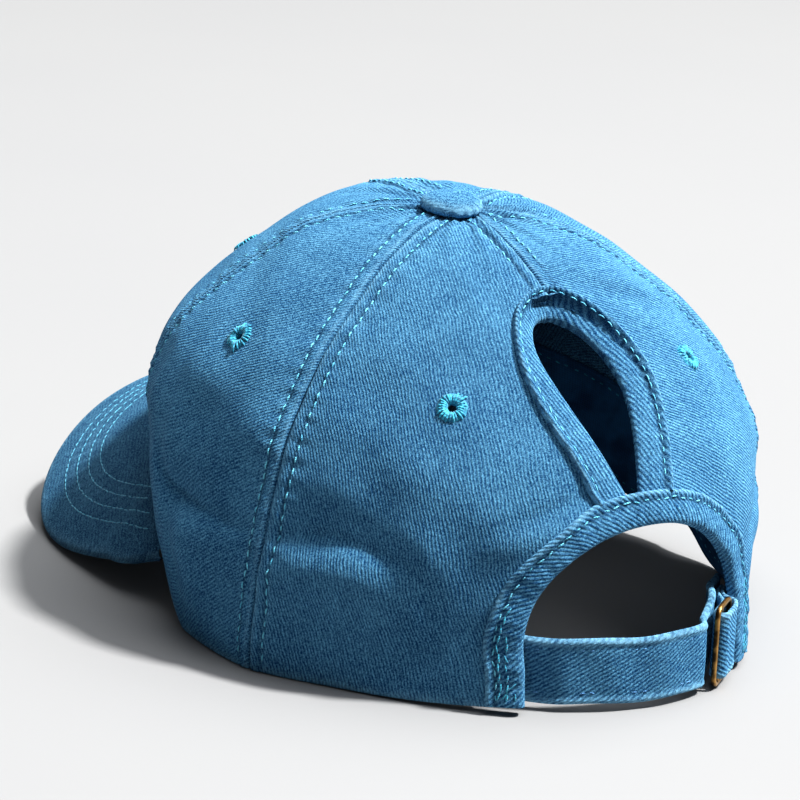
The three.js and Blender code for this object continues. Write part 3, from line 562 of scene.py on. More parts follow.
for name, seam, next_seam, tilt, crisp in PANELS:
    t = np.linspace(0, 1, PANEL_COLUMNS)
    u = 0.62 * t + 0.38 * (0.5 - 0.5 * np.cos(math.pi * t))
    rise = np.r_[np.linspace(PANEL_TOP, RIM_RISE, OUTER_ROWS), np.full(RIM_ROWS, RIM_RISE),
                 np.linspace(RIM_RISE, PANEL_TOP, INNER_ROWS)]
    start, end = seam_angle(seam, rise), seam_angle(next_seam, rise)
    end = np.where(end <= start, end + 360, end)
    angle = (start[:, None] + (end - start)[:, None] * u) % 360
    angle = np.where((t == 1) & (next_seam == "front"), 360 - 1e-4, angle)
    rise = np.broadcast_to(rise[:, None], angle.shape)
    surface, normal = crown(angle, rise), crown_normal(angle, rise)
    relief = seam_relief(angle, rise)
    offsets = np.abs(seam_offsets(angle, rise)).min(0)
    tape = TAPE_THICKNESS * smooth((TAPE_HALF - offsets) / 0.8) - 0.35 * bell(offsets / 0.6)
    fold = np.linspace(0, math.pi, RIM_ROWS + 2)[1:-1]
    swing = np.r_[np.zeros(OUTER_ROWS), fold, np.full(INNER_ROWS, math.pi)][:, None]
    depth = RIM_RADIUS * (np.cos(swing) - 1)
    lift = np.r_[np.ones(OUTER_ROWS), np.cos(fold) / 2 + 0.5, np.zeros(INNER_ROWS)][:, None]
    surface = surface + normal * (depth + relief * lift - tape * (lift == 0))[..., None]
    surface[..., 2] -= RIM_RADIUS * np.sin(swing)
    length = rise * RISE_TOTAL
    sideways = run_lengths(crown(angle, rise), 1)
    sideways = sideways - sideways[:, -1:] / 2
    cloth = stacked(sideways, length, lift)
    # Pale rubbed edges beside the seams and at the rim; the terms below 0 are painted shade in the seam line
    # and the stitch grooves.
    wear_and_shade = (0.2 * bell((offsets - 1.0) / 0.7) + 0.12 * bell((offsets - 4.7) / 0.8)
            + 0.35 * bell(length / 1.6) - 0.45 * bell(offsets / 0.4)
            - 0.6 * bell((offsets - STITCH_OFFSET) / 0.55)) * lift
    faces = net_faces(*angle.shape)[:, ::-1]
    middle = surface.reshape(-1, 3)[faces].mean(1)
    centre = crown(*EYELETS[name])
    keep = np.linalg.norm(middle - centre, axis=1) > EYELET_HOLE
    if name.startswith("back"):
        keep &= arch_reach(middle[:, 0], middle[:, 2]) > ARCH_EDGE
        keep &= drop_reach(middle) > DROP_EDGE
    piece = make_piece(f"cloth_panel_{name}", surface, faces[keep], cloth, wear_and_shade)
    fit(piece, twill(f"washed_twill_{name}", tilt, crisp=crisp), "twill", f"panel_{name}")

# Seam stitching: pale blue cotton thread, two rows down every crown seam, each stitch a
# short float that dips into the cloth at both ends.
THREAD_WIDTH = 0.5
THREAD_STEPS, THREAD_SIDES = 7, 6
THREAD_SINK = 0.16
THREAD_LIGHT = dyed(58, 178, 206)
THREAD_DEEP = dyed(8, 86, 124)
stitch_random = np.random.default_rng(5)


def circle(sides):
    return np.linspace(0, 2 * math.pi, sides, endpoint=False)


def places_on(at, lengths, points):
    """Places at some distances along a line of points."""
    return stacked(*(np.interp(at, lengths, column) for column in points.T))


def thread_row(points, normals, pitch=STITCH_PITCH, length=2.0, width=THREAD_WIDTH, lift=0.3, messy=0.0):
    """Stitches along a line of points, as rings of points from one end of each to the other.
    Messy is how far they lean and stray from the line."""
    lengths = run_lengths(points)
    count = max(0, int((lengths[-1] - length) / pitch))
    middles = (np.arange(count) + 0.6) * pitch + stitch_random.normal(0, 0.07 * pitch, count)
    reach = 0.5 * length * stitch_random.uniform(0.88, 1.1, count)
    t = np.linspace(-1, 1, THREAD_STEPS)
    at = np.clip(middles[:, None] + reach[:, None] * t, 0, lengths[-1])
    line = places_on(at, lengths, points)
    up = unit(places_on(at, lengths, normals))
    along = unit(line[:, -1:] - line[:, :1])
    side = unit(np.cross(along, up))
    lean = stitch_random.normal(0, 0.08 + messy, count)[:, None, None]
    line = line + side * lean * t[None, :, None] * reach[:, None, None]
    line = line + up * (lift * (1 - t**2) - THREAD_SINK)[None, :, None]
    line = line + side * (stitch_random.normal(0, 0.05 + messy * 0.8, count)[:, None, None])
    girth = width / 2 * np.sqrt(np.clip(1.02 - t**2 * 0.93, 0, 1))
    turn = circle(THREAD_SIDES)
    ring = np.cos(turn)[:, None] * side[:, :, None, :] + np.sin(turn)[:, None] * up[:, :, None, :] * 0.8
    return line[:, :, None, :] + ring * girth[None, :, None, None]


def tube_faces(steps, sides):
    """Faces of rings of points joined to a tube, with a flat end at either end."""
    ends = [list(range(sides))[::-1], list(range((steps - 1) * sides, steps * sides))]
    return net_faces(steps, sides, closes=True).tolist() + ends


def make_stitches(name, rows, material):
    """One piece of many stitches, each with a tone of its own."""
    rings = np.concatenate(rows)
    count, steps, sides, _ = rings.shape
    stitch_faces = tube_faces(steps, sides)
    faces = [[corner + i * steps * sides for corner in face] for i in range(count) for face in stitch_faces]
    tone = stitch_random.uniform(0, 1, count)[:, None, None]
    cloth = stacked(np.linspace(0, 1, steps)[:, None], np.linspace(0, 1, sides, endpoint=False), tone)
    piece = make_piece(name, rings, faces, cloth)
    fit(piece, material, "thread")
    return piece


def thread(name, light=THREAD_LIGHT, deep=THREAD_DEEP):
    """Two-ply cotton thread: the twist shows as slanting bands along each stitch."""
    finish = Finish(name)
    run, turn, tone = finish.cloth()
    ply = finish.wave(run * 3.2 + turn)
    place = finish.place()
    fuzz = finish.noise(place, 0.5, 1.0)
    share = ply * 0.35 + tone * 0.5 + fuzz * 0.35 - 0.05
    colour = finish.blend(share.clipped(), deep, light)
    normal = bump(finish, ply, 0.12, 0.8)
    return finish.surface(colour, 0.6, normal, Sheen_Weight=0.25, Specular_IOR_Level=0.35)


thread_finish = thread("turquoise_thread")
seam_thread = thread("pale_blue_thread", dyed(118, 204, 226), dyed(50, 150, 190))


def seam_line(seam, side, low, high):
    """The line of a row of stitches beside a seam, and which way is out of the cloth."""
    rise = np.linspace(low, high, 160)
    base = np.broadcast_to(seam_angle(seam, rise), rise.shape)
    step = 0.05
    stretch = np.linalg.norm(crown(base + step, rise) - crown(base - step, rise), axis=1) / (2 * step)
    angle = base + side * STITCH_OFFSET / stretch
    return cloth_point(angle, rise, 0.05), crown_normal(angle, rise)


SEAM_LOW, SEAM_HIGH = 0.02, 0.955
SEAM_ABOVE_OPENING = 0.775
rows = []
for seam in SEAMS:
    low, high = SEAM_ABOVE_OPENING if seam == "back" else SEAM_LOW, SEAM_HIGH
    for side in (-1, 1):
        rows.append(thread_row(*seam_line(seam, side, low, high)))
make_stitches("crown_seam_stitches", rows, seam_thread)

# Eyelets: six breathing holes, each sewn round with close radial stitches of thread over a
# soft raised ring, with the hole left dark in the middle.
EYELET_RADIUS = 4.1
EYELET_INNER = 1.15
EYELET_THREADS = 24
EYELET_THREAD_LIFT, EYELET_THREAD_GIRTH = 0.92, 0.36
EYELET_PAD = np.array([  # reach and height of the raised ring, from the hole outwards
    (1.25, -1.8), (1.3, -0.2), (1.6, 0.15), (2.2, 0.34), (2.9, 0.36), (3.5, 0.2), (3.9, -0.1), (4.0, -0.5)])
EYELET_PAD_SIDES = 40


def crown_frame(angle, rise):
    """A place on the crown with the ways sideways, up the cloth and out of it."""
    centre, up = cloth_point(angle, rise), crown_normal(angle, rise)
    side = unit(crown(angle + 0.5, rise) - crown(angle - 0.5, rise))
    return centre, unit(side - up * (side @ up)), np.cross(up, side), up


for name, (angle, rise) in EYELETS.items():
    centre, side, top, up = crown_frame(np.float64(angle), np.float64(rise))
    rows = []
    for i in range(EYELET_THREADS):
        turn = 2 * math.pi * (i + stitch_random.uniform(-0.2, 0.2)) / EYELET_THREADS
        way = math.cos(turn) * side + math.sin(turn) * top
        outer = EYELET_RADIUS + stitch_random.normal(0, 0.3)
        inner = EYELET_INNER + stitch_random.normal(0, 0.08)
        reach = np.linspace(inner, outer, THREAD_STEPS)
        share = (reach - inner) / (outer - inner)
        arc = np.sqrt(np.clip(1 - (2 * share - 1) ** 2, 0, 1))
        height = EYELET_THREAD_LIFT * arc - 0.35 + stitch_random.normal(0, 0.07)
        line = centre + way * reach[:, None] + up * height[:, None]
        out = unit(up + way * (0.9 * (share - 0.5))[:, None])
        girth = EYELET_THREAD_GIRTH * np.sqrt(np.clip(1.02 - (2 * share - 1) ** 2 * 0.8, 0.1, 1))
        spin = circle(THREAD_SIDES)
        beside = np.cross(way, out)
        ring = np.cos(spin)[:, None] * beside[:, None] + np.sin(spin)[:, None] * out[:, None]
        rows.append((line[:, None] + ring * girth[:, None, None])[None])
    threads = make_stitches(f"eyelet_threads_{name}", rows, thread_finish)
    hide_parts(f"eyelet_{name}")
    spin = circle(EYELET_PAD_SIDES)
    reach, height = EYELET_PAD.T[..., None]
    way = np.cos(spin)[:, None] * side + np.sin(spin)[:, None] * top
    points = centre + way[None] * reach[..., None] + up * height[..., None]
    faces = net_faces(len(EYELET_PAD), EYELET_PAD_SIDES, closes=True)
    fit(make_piece(f"eyelet_pad_{name}", points, faces, stacked(reach / 4, spin, 0.1)), thread_finish, "thread")

# Button: a domed disc covered in the same twill, drawn tight underneath, over the point
# where the six panels meet.
BUTTON_RADIUS = 8.3
BUTTON_HEIGHT, BUTTON_WAIST = 5.4, 1.9
BUTTON_SHIFT = np.array([4.2, 1.5, -0.7])  # sewn a little off the points of the gores
BUTTON_RINGS, BUTTON_SPOKES = 34, 96
BUTTON_TURN = 0.86 * math.pi  # from the top of the dome to the edge of the cloth below
apex = crown(0, 0.999) + BUTTON_SHIFT
lean = math.atan(BACKWARD_LEAN)
button_up = np.array([0, math.sin(lean), math.cos(lean)])
button_back = np.array([0, math.cos(lean), -math.sin(lean)])
share = np.linspace(0, 1, BUTTON_RINGS)[:, None]
spin = circle(BUTTON_SPOKES)[None]
swing = share * BUTTON_TURN
tuck = (swing - math.pi / 2) / 1.13
dome = np.sin(np.minimum(swing, math.pi / 2)) ** 0.8
reach = BUTTON_RADIUS * np.where(tuck > 0, 1 - 0.35 * tuck**2, dome)
rounded = np.abs(np.cos(swing)) ** 0.75
height = np.where(tuck > 0, BUTTON_WAIST * (1 - tuck), BUTTON_WAIST + (BUTTON_HEIGHT - BUTTON_WAIST) * rounded)
reach = reach + 0.22 * smooth((swing - 1.25) / 0.5) * np.sin(17 * spin + 1.3 * np.sin(3 * spin))
height = height + 0.16 * np.sin(2 * spin + 0.6) * smooth(share / 0.4) * (share < 1)
points = (apex + (reach * np.cos(spin))[..., None] * np.array([1.0, 0, 0])
          + (reach * np.sin(spin))[..., None] * button_back + height[..., None] * button_up)
flat = share * BUTTON_RADIUS * 1.35
cloth = stacked(flat * np.cos(spin), flat * np.sin(spin), 1.0)
wear_and_shade = 0.5 * bell((swing - 1.35) / 0.35) * np.ones_like(spin)
button = make_piece("cloth_button", points, net_faces(BUTTON_RINGS, BUTTON_SPOKES, closes=True), cloth, wear_and_shade)
fit(button, twill("washed_twill_button", 50, relief=0.12, crisp=0.3), "twill", "button")

# Bindings: a strip of twill cut on the bias and folded over the raw edge of each opening,
# held by a row of stitches beside a plump outer edge. The feet of the arch are tacked with
# more rows, and the ends of the other binding are sewn in under the arch's own.
FACE_POINTS, INNER_POINTS = 30, 10
LEG_SHARE = 0.16
TIP_SPREAD = 0.17


def arch_foot(side):
    x = ARCH["middle"] + side * (ARCH["half_width"] + ARCH["width"] / 2)
    angle, _ = crown_address(np.array([x]), np.array([2.0]))
    return float(crown(angle, 0.0)[0, 2]) + ARCH["foot"]


FEET = {1: arch_foot(1), -1: arch_foot(-1)}


def arch_place(t, out):
    """A place across the arch's binding: t runs from the left foot to the right one."""
    wide, tall = ARCH["half_width"] + out, ARCH["top"] - ARCH["spring"] + out
    turn = np.clip((t - LEG_SHARE) / (1 - 2 * LEG_SHARE), 0, 1) * math.pi
    x = ARCH["middle"] + wide * np.cos(turn)
    z = ARCH["spring"] + tall * np.sin(turn)
    z = np.where(t < LEG_SHARE, FEET[1] + (ARCH["spring"] - FEET[1]) * t / LEG_SHARE, z)
    z = np.where(t > 1 - LEG_SHARE, FEET[-1] + (ARCH["spring"] - FEET[-1]) * (1 - t) / LEG_SHARE, z)
    return x, z


def drop_place(t, out):
    """The same for the drop, where distances are taken over the crown and not on the flat."""
    at = DROP["end"] + (1 - 2 * DROP["end"]) * t
    before, here, after = drop_outline(at - 0.004), drop_outline(at), drop_outline(at + 0.004)
    way = unit(after - before)
    x, z, reach, level = here[..., 0], here[..., 1], 5.0, np.zeros(np.shape(t))
    away = crown_back(x + way[..., 1] * reach, z - way[..., 0] * reach, level) - crown_back(x, z, level)
    flat = out * reach / np.linalg.norm(away, axis=-1)
    return x + way[..., 1] * flat, z - way[..., 0] * flat


def binding_section(face, width, under):
    """Closed section of a folded strip: its outer face, the rolled outer edge, and the inner leg."""
    face = np.array(face, float)
    lengths = run_lengths(face)
    out, lift = places_on(np.linspace(0, lengths[-1], FACE_POINTS), lengths, face).T
    inner_out = np.linspace(width, 0.3, INNER_POINTS)
    inner_lift = under - 0.3 * bell((inner_out - width) / 1.2)
    return np.r_[out, inner_out], np.r_[lift, inner_lift]


def narrowed(out, widest, t, share):
    """Distances over a strip that is narrower by a share at the middle of its length."""
    return widest - (widest - out) * (1 - share * bell((t - 0.5) / TIP_SPREAD))


def binding(name, place, section, steps, tilt, nodes, gather, stitch_out, dip=0.0, narrow=0.0, trim=None,
            upright=False):
    """A folded strip round an opening, and the line of its stitches. Dip draws its inner edge down at
    the middle of its length, and narrow pulls it outwards there. Trim says which places are hidden
    under another strip. The wales of an upright strip follow the cap and not the strip."""
    out, lift = section
    on_face = np.arange(len(out)) < FACE_POINTS
    t = np.linspace(0, 1, steps)[:, None]
    x, z = place(t, narrowed(out[None], out.max(), t, narrow))
    run = run_lengths(stacked(*place(t[:, 0], np.full(steps, 4.0))))
    wobble = (np.sin(run / 1.55 + 1.7 * np.sin(run / 7.0)) + 0.6 * np.sin(run / 2.9 + 2.0)
              + 0.5 * np.sin(run / 0.48))
    outer = smooth((lift + 1.0) / 0.8) * smooth((out.max() / 2 + 1.5 - np.abs(out - 4.2)) / 3.0)
    height = lift + gather * wobble[:, None] * outer * on_face
    height = height - dip * bell((t - 0.5) / 0.2) * smooth((out.max() - 1.8 - out[None]) / 1.7)
    points = crown_back(x, z, height)
    if upright:
        cloth = stacked(x, z, 1.0)
    else:
        cloth = stacked(run[:, None], run_lengths(stacked(out, lift)), 1.0)
    # Pale rubbed outer and inner edges; the term below 0 is painted shade in the groove of the stitch row.
    edge = (0.3 * bell((out - out.max() + 0.5) / 0.5) + 0.1 * bell(out / 0.9)
            - 0.55 * bell((out - stitch_out) / 0.5))
    wear_and_shade = np.broadcast_to(edge * on_face, height.shape)
    if trim:
        faces = net_faces(steps, len(out), closes=True)
        middle = stacked(x, z).reshape(-1, 2)[faces].mean(1)
        faces = faces[~trim(middle[:, 0], middle[:, 1])]
    else:
        faces = tube_faces(steps, len(out))
    piece = make_piece(name, points, faces, cloth, wear_and_shade)
    fit(piece, twill(f"bias_twill_{name}", tilt, pitch=1.05, relief=0.28), "twill", *nodes)
    row_lift = np.interp(stitch_out, out[on_face], lift[on_face])
    fine = np.linspace(0.004, 0.996, 400)
    row_x, row_z = place(fine, narrowed(np.full(400, stitch_out), out.max(), fine, narrow))
    return crown_back(row_x, row_z, np.full(400, row_lift + 0.05))


def line_normals(points):
    angle, rise = crown_address(points[:, 0], points[:, 2])
    return crown_normal(angle, rise)


ARCH_FACE = [(0.3, -2.4), (0.0, -1.6), (0.0, -0.4), (0.35, 0.5), (1.2, 1.0), (3.0, 1.15), (4.8, 0.95),
             (5.7, 0.72), (6.2, 0.9), (6.8, 1.35), (7.4, 1.3), (7.8, 0.8), (7.85, 0.1)]
DROP_FACE = [(0.4, -2.9), (0.1, -2.2), (0.0, -1.4), (0.4, -0.75), (1.4, -0.25), (3.2, 0.35), (5.2, 0.8),
             (6.7, 0.85), (7.1, 0.9), (7.7, 1.75), (8.5, 1.95), (9.1, 1.5), (9.3, 0.6), (9.25, -0.1)]
arch_line = binding("cloth_arch_binding", arch_place, binding_section(ARCH_FACE, 7.6, -2.3), 260, 42,
                    ["arch_binding"], 0.16, 5.75)
drop_line = binding("cloth_ponytail_binding", drop_place, binding_section(DROP_FACE, 9.0, -2.6), 220, -24,
                    ["ponytail_binding"], 0.07, 6.9, dip=4.0, narrow=0.42,
                    trim=lambda x, z: arch_reach(x, z) < 7.2, upright=True)
rows = [thread_row(arch_line, line_normals(arch_line), messy=0.14, width=0.42)]
drop_line = drop_line[drop_line[:, 2] > arch_place(np.full(1, 0.5), 7.8)[1][0] - 0.2]
rows.append(thread_row(drop_line, line_normals(drop_line), messy=0.04, width=0.4, lift=0.2))
make_stitches("binding_stitches", rows, seam_thread)
TACKING = [(2.4, 0.10, 0.4), (3.4, 0.22, 0.12), (5.0, 0.25, 0.16), (4.2, 0.09, 0.5)]  # out, reach, messiness
rows = []
for out, reach, messy in TACKING:
    fine = np.linspace(0.012, reach, 60)
    for at in (fine, 1 - fine):
        x, z = arch_place(at, np.full(60, out))
        line = crown_back(x, z, np.full(60, 1.12))
        rows.append(thread_row(line, line_normals(line), pitch=2.5, length=2.3, messy=messy, width=0.5))
make_stitches("tacking_stitches", rows, thread_finish)

# Visor: a stiff curved board inside a twill cover, sewn through with four rows of stitches
# that follow its edge, and joined to the brow of the crown.
VISOR = {
    "half_width": 84.4, "length": 77.7, "centre_y": -58.8, "squareness": 2.74, "thickness": 3.2, "end": 71,
    "last_turn": 107, "crest": 43.7, "droop": 43.3, "bend_width": 85, "bend_power": 2.47, "slope": 0.21,
    "slope_start": -80, "slope_end": -48,
}
VISOR_ROWS = [7.0, 10.1, 13.2, 16.3]
VISOR_ROW_MIDDLE = 11.6
VISOR_ROW_DEPTH, VISOR_ROW_HALF = 0.14, 0.62
VISOR_ROW_END = 104
VISOR_STITCH = {"pitch": 2.5, "length": 2.35, "width": 0.42, "lift": 0.14}
VISOR_COLUMNS, VISOR_DEPTH_ROWS, VISOR_EDGE_ROWS = 300, 64, 9
EDGE_RADIUS = VISOR["thickness"] / 2


def visor_height(x, y):
    """Height of the board's upper face, away from where it meets the crown."""
    run = np.minimum(y - ORIGIN_Y, VISOR["slope_end"]) - VISOR["slope_start"]
    bend = VISOR["droop"] * np.abs(x / VISOR["bend_width"]) ** VISOR["bend_power"]
    return VISOR["crest"] - bend + VISOR["slope"] * run


def visor_edge(turn, inset):
    """The visor's edge, or a line inside it, by the turn from its tip."""
    s, c = np.sin(turn * RAD), np.cos(turn * RAD)
    power = 2 / VISOR["squareness"]
    x = (VISOR["half_width"] - inset) * np.sign(s) * np.abs(s) ** power
    y = VISOR["centre_y"] - (VISOR["length"] - inset) * np.sign(c) * np.abs(c) ** power
    return x, y + ORIGIN_Y


def visor_inset(x, y):
    """How far a place lies inside the visor's edge."""
    low, high = np.full(np.shape(x), -4.0), np.full(np.shape(x), 70.0)
    for _ in range(24):
        middle = (low + high) / 2
        wide, long = VISOR["half_width"] - middle, VISOR["length"] - middle
        size = (np.abs(x / wide) ** VISOR["squareness"]
                + np.abs((y - ORIGIN_Y - VISOR["centre_y"]) / long) ** VISOR["squareness"])
        low, high = np.where(size < 1, middle, low), np.where(size < 1, high, middle)
    return (low + high) / 2


def visor_root(angle, up):
    """Where the visor's upper face meets the crown."""
    rim = crown(angle, 0.0)[..., 2]
    per_rise = (crown(angle, 0.01)[..., 2] - rim) / 0.01
    rise = up / per_rise
    return crown(angle, rise) + crown_normal(angle, rise) * 0.15


root_angles = np.linspace(-VISOR["end"], VISOR["end"], 500)
root_line = visor_root(root_angles, VISOR["thickness"])
root_lift = root_line[:, 2] - visor_height(root_line[:, 0], root_line[:, 1])


def visor_top(x, y):
    """The upper face, and the relief of its rows of stitches and of its cloth."""
    flat = stacked(np.ravel(x), np.ravel(y))
    gaps = np.linalg.norm(flat[:, None] - root_line[None, :, :2], axis=-1)
    nearest = gaps.argmin(1)
    gap = gaps.min(1).reshape(np.shape(x))
    lift = root_lift[nearest].reshape(np.shape(x)) * np.clip(1 - gap / 26, 0, 1) ** 2
    inset = visor_inset(x, y)
    relief = 0
    for row in VISOR_ROWS:
        relief = relief - VISOR_ROW_DEPTH * bell((inset - row) / VISOR_ROW_HALF)
    relief = relief + 0.1 * np.sin(1.3 * x + 0.9 * y) * bell((inset - VISOR_ROW_MIDDLE) / 6)
    waves = 0.15 * cloth_waves(stacked(x, y, 0.0) * 0.9)
    return stacked(x, y, visor_height(x, y) + lift), relief + waves * smooth(gap / 8)


def net_normals(points):
    down, across = np.gradient(points, axis=0), np.gradient(points, axis=1)
    return unit(np.cross(across, down))


u = np.linspace(-1, 1, VISOR_COLUMNS)
root = visor_root(u * VISOR["end"], VISOR["thickness"])
edge_x, edge_y = visor_edge(u * VISOR["last_turn"], EDGE_RADIUS * 0.65)
pinch = 0.9 * np.clip((np.abs(u) - 0.9) / 0.1, 0, 1) ** 2.2
edge_x, edge_y = edge_x + (root[:, 0] - edge_x) * pinch, edge_y + (root[:, 1] - edge_y) * pinch
v = np.linspace(0, 1, VISOR_DEPTH_ROWS)[:, None]
x = root[:, 0] + (edge_x - root[:, 0]) * v
y = root[:, 1] + (edge_y - root[:, 1]) * v
top, relief = visor_top(x, y)
normals = net_normals(top)
normals = normals * np.sign(normals[..., 2:].mean())
top_face = top + normals * relief[..., None]
swing = np.linspace(math.pi / 2, -math.pi / 2, VISOR_EDGE_ROWS + 2)[1:-1, None, None]
edge_way = unit(np.gradient(top[-1], axis=0))
outward = np.cross(edge_way, normals[-1])
outward = outward * np.sign((outward * (top[-1] - top[-3])).sum(-1, keepdims=True))
seam_dip = 1 - 0.22 * bell((swing + 0.55) / 0.16)
rolled = (top[-1] - normals[-1] * EDGE_RADIUS
          + EDGE_RADIUS * seam_dip * (np.cos(swing) * outward + np.sin(swing) * normals[-1]))
near_root = np.linalg.norm(top[:, :, :2] - root[None, :, :2], axis=-1)[..., None]
straight = unit(normals * smooth(near_root / 16) + np.array([0, 0, 1.0]) * (1 - smooth(near_root / 16)))
under_face = (top - straight * (VISOR["thickness"] + relief[..., None]))[::-1]
points = np.concatenate([top_face, rolled, under_face])
inset = visor_inset(x, y)
inset = np.concatenate([inset, np.zeros((VISOR_EDGE_ROWS, VISOR_COLUMNS)), inset[::-1]])
cloth = stacked(points[..., 0], points[..., 1], 1.0)
rolled_rows = slice(VISOR_DEPTH_ROWS, VISOR_DEPTH_ROWS + VISOR_EDGE_ROWS)
cloth[rolled_rows, :, 1] += np.linspace(0, 3, VISOR_EDGE_ROWS)[:, None]
wear_and_shade = 0.3 * bell((inset - 0.4) / 1.3) + 0.06 * bell((inset - VISOR_ROW_MIDDLE) / 7)
visor = make_piece("cloth_visor", points, net_faces(len(points), VISOR_COLUMNS), cloth, wear_and_shade)
# The visor's twill is darkened all over as painted shade, for the crown's shadow over it.
fit(visor, twill("washed_twill_visor_painted_shade", -30, relief=0.12, crisp=0.35, painted_shade=0.48), "twill", "visor")

rows = []
for inset_row in VISOR_ROWS:
    line, relief = visor_top(*visor_edge(np.linspace(-VISOR_ROW_END, VISOR_ROW_END, 700), inset_row))
    outside = np.linalg.norm(line[:, None, :2] - root_line[None, :, :2], axis=-1).min(1)
    ahead = line[:, 1] < np.interp(line[:, 0], root_line[:, 0], root_line[:, 1])
    keep = (outside > 0.8) & ahead
    line, relief = line[keep], relief[keep]
    x, y, step = line[:, 0], line[:, 1], 1e-2
    slope = (visor_height(x + step, y) - visor_height(x - step, y)) / (2 * step)
    up = unit(stacked(-slope, -VISOR["slope"], 1.0))
    rows.append(thread_row(line + up * (relief + 0.1)[:, None], up, **VISOR_STITCH))
    below = line - up * (VISOR["thickness"] + relief + 0.1)[:, None]
    rows.append(thread_row(below, -up, **VISOR_STITCH))
visor_thread = thread("faded_teal_thread", dyed(74, 160, 186), dyed(34, 112, 146))
make_stitches("visor_stitches", rows, visor_thread)

# Sweatband: a flat cotton band inside the rim, from one foot of the arch round to the other,
# sewn along its lower edge and turned up against the crown.
SWEATBAND = {"height": 30, "thickness": 1.2, "gap": 1.0, "clearance": 1.4, "low": 0.006, "row_inset": 3.2}


def band_section(low, high, inside, outside, bead, bead_depth):
    """A flat strip seen from its end: two faces with a plump edge at the top and bottom."""
    face = [(0.12, low), (0.75, low + 0.35), (1.0, low + 1.0), (0.9, low + bead), (0.55, low + bead + 0.6)]
    rise = np.linspace(low + bead + 1.4, high - bead - 1.4, 7)
    body = [(0.62, at) for at in rise]
    top = [(0.55, high - bead - 0.6), (0.9, high - bead), (1.0, high - 1.0), (0.75, high - 0.35), (0.12, high)]
    side = np.array(face + body + top)
    depth = np.where(side[:, 0] > 0.65, side[:, 0] * (1 + bead_depth), side[:, 0] * 1.55)
    centre, half = (inside + outside) / 2, (outside - inside) / 2
    front = np.stack([centre + half * depth, side[:, 1]], -1)
    back = np.stack([centre - half * depth, side[:, 1]], -1)[::-1]
    return np.concatenate([front, back])


def make_band(name, points, section, material, slot, nodes, wear_edges):
    """A strip whose section is carried along a line. Points has one row for each place on it."""
    steps, ring = points.shape[:2]
    height = section[:, 1]
    cloth = stacked(run_lengths(points).mean(1)[:, None], height, 1.0)
    edge = np.minimum(height - height.min(), height.max() - height)
    wear_and_shade = np.broadcast_to(wear_edges * bell((edge - 0.6) / 1.2), (steps, ring))
    fit(make_piece(name, points, tube_faces(steps, ring), cloth, wear_and_shade), material, slot, *nodes)


def lining(name):
    """Plain dark cotton: fine upright and level yarns."""
    finish = Finish(name)
    across, along, _ = finish.cloth()
    place = finish.place()
    yarns = finish.wave(across / 0.8) * 0.5 + finish.wave(along / 0.8) * 0.5
    cloud = finish.noise(place, 9.0, 3.0)
    share = yarns * 0.3 + cloud.ramp(0.3, 0.7) * 0.5
    colour = finish.blend(share.clipped(), dyed(16, 52, 88), dyed(48, 112, 160))
    normal = bump(finish, yarns, 0.12, 0.7)
    return finish.surface(colour, 0.92, normal, Specular_IOR_Level=0.2)


clear = ARCH["half_width"] + ARCH["width"] + SWEATBAND["clearance"]
foot_left, foot_right = crown_address(ARCH["middle"] + np.array([clear, -clear]), np.full(2, 3.0))[0]
foot_right -= 360
outside = -CLOTH - SWEATBAND["gap"]
section = band_section(0.0, SWEATBAND["height"], outside - SWEATBAND["thickness"], outside, 1.6, 0.35)
angle = np.linspace(foot_right, foot_left, 330)[:, None]
rise = SWEATBAND["low"] + section[None, :, 1] / RISE_TOTAL
angle, rise = np.broadcast_arrays(angle, rise)
points = crown(angle, rise) + crown_normal(angle, rise) * section[None, :, :1]
make_band("cotton_sweatband", points, section, lining("cotton_lining"), "sweatband", ["sweatband"], 0.0)
rows = []
for up in (SWEATBAND["row_inset"], SWEATBAND["height"] - SWEATBAND["row_inset"]):
    angle = np.linspace(foot_right + 1, foot_left - 1, 900)
    rise = np.full(900, SWEATBAND["low"] + up / RISE_TOTAL)
    normal = crown_normal(angle, rise)
    line = crown(angle, rise) + normal * (outside - SWEATBAND["thickness"] + 0.12)
    rows.append(thread_row(line, -normal, width=0.5, lift=0.2))
make_stitches("sweatband_stitches", rows, thread_finish)

# Strap: a doubled strip of twill with a corded upper edge. It comes out from inside the
# left foot of the arch, bows out behind it, and goes through the buckle.
STRAP = {"height": 17.5, "thickness": 1.6, "bottom": 2.0, "tail_rise": 3.0, "tail_drop": 2.6}
STRAP_ROW_INSET = 3.0
STRAP_LINE = [  # seen from above, from inside the left foot to inside the right one
    (36.8, 73.4), (33.4, 75.7), (30.2, 78), (26.5, 81.2), (20.5, 85.9), (10, 90.4),
    (-2, 92.8), (-11, 92.6), (-17, 91), (-21.5, 88.6), (-25, 85.8), (-28.5, 83),
    (-31.4, 79.2), (-33.9, 75), (-37.3, 72.3), (-40.4, 69.6),
]


def spline(points, per_span=40):
    """A smooth line through points, as even steps."""
    p = np.array(points, float)
    p = np.concatenate([[2 * p[0] - p[1]], p, [2 * p[-1] - p[-2]]])
    t = np.linspace(0, 1, per_span, endpoint=False)[:, None]
    spans = []
    for a, b, c, d in zip(p[:-3], p[1:-2], p[2:-1], p[3:]):
        spans.append(0.5 * (2 * b + (c - a) * t + (2 * a - 5 * b + 4 * c - d) * t**2
                            + (3 * b - a - 3 * c + d) * t**3))
    line = np.concatenate(spans + [p[-2:-1]])
    run = run_lengths(line)
    return places_on(np.linspace(0, run[-1], 800), run, line)


strap_line = spline(STRAP_LINE)
strap_line[:, 1] += ORIGIN_Y
strap_way = unit(np.gradient(strap_line, axis=0))
strap_out = stacked(strap_way[:, 1], -strap_way[:, 0])


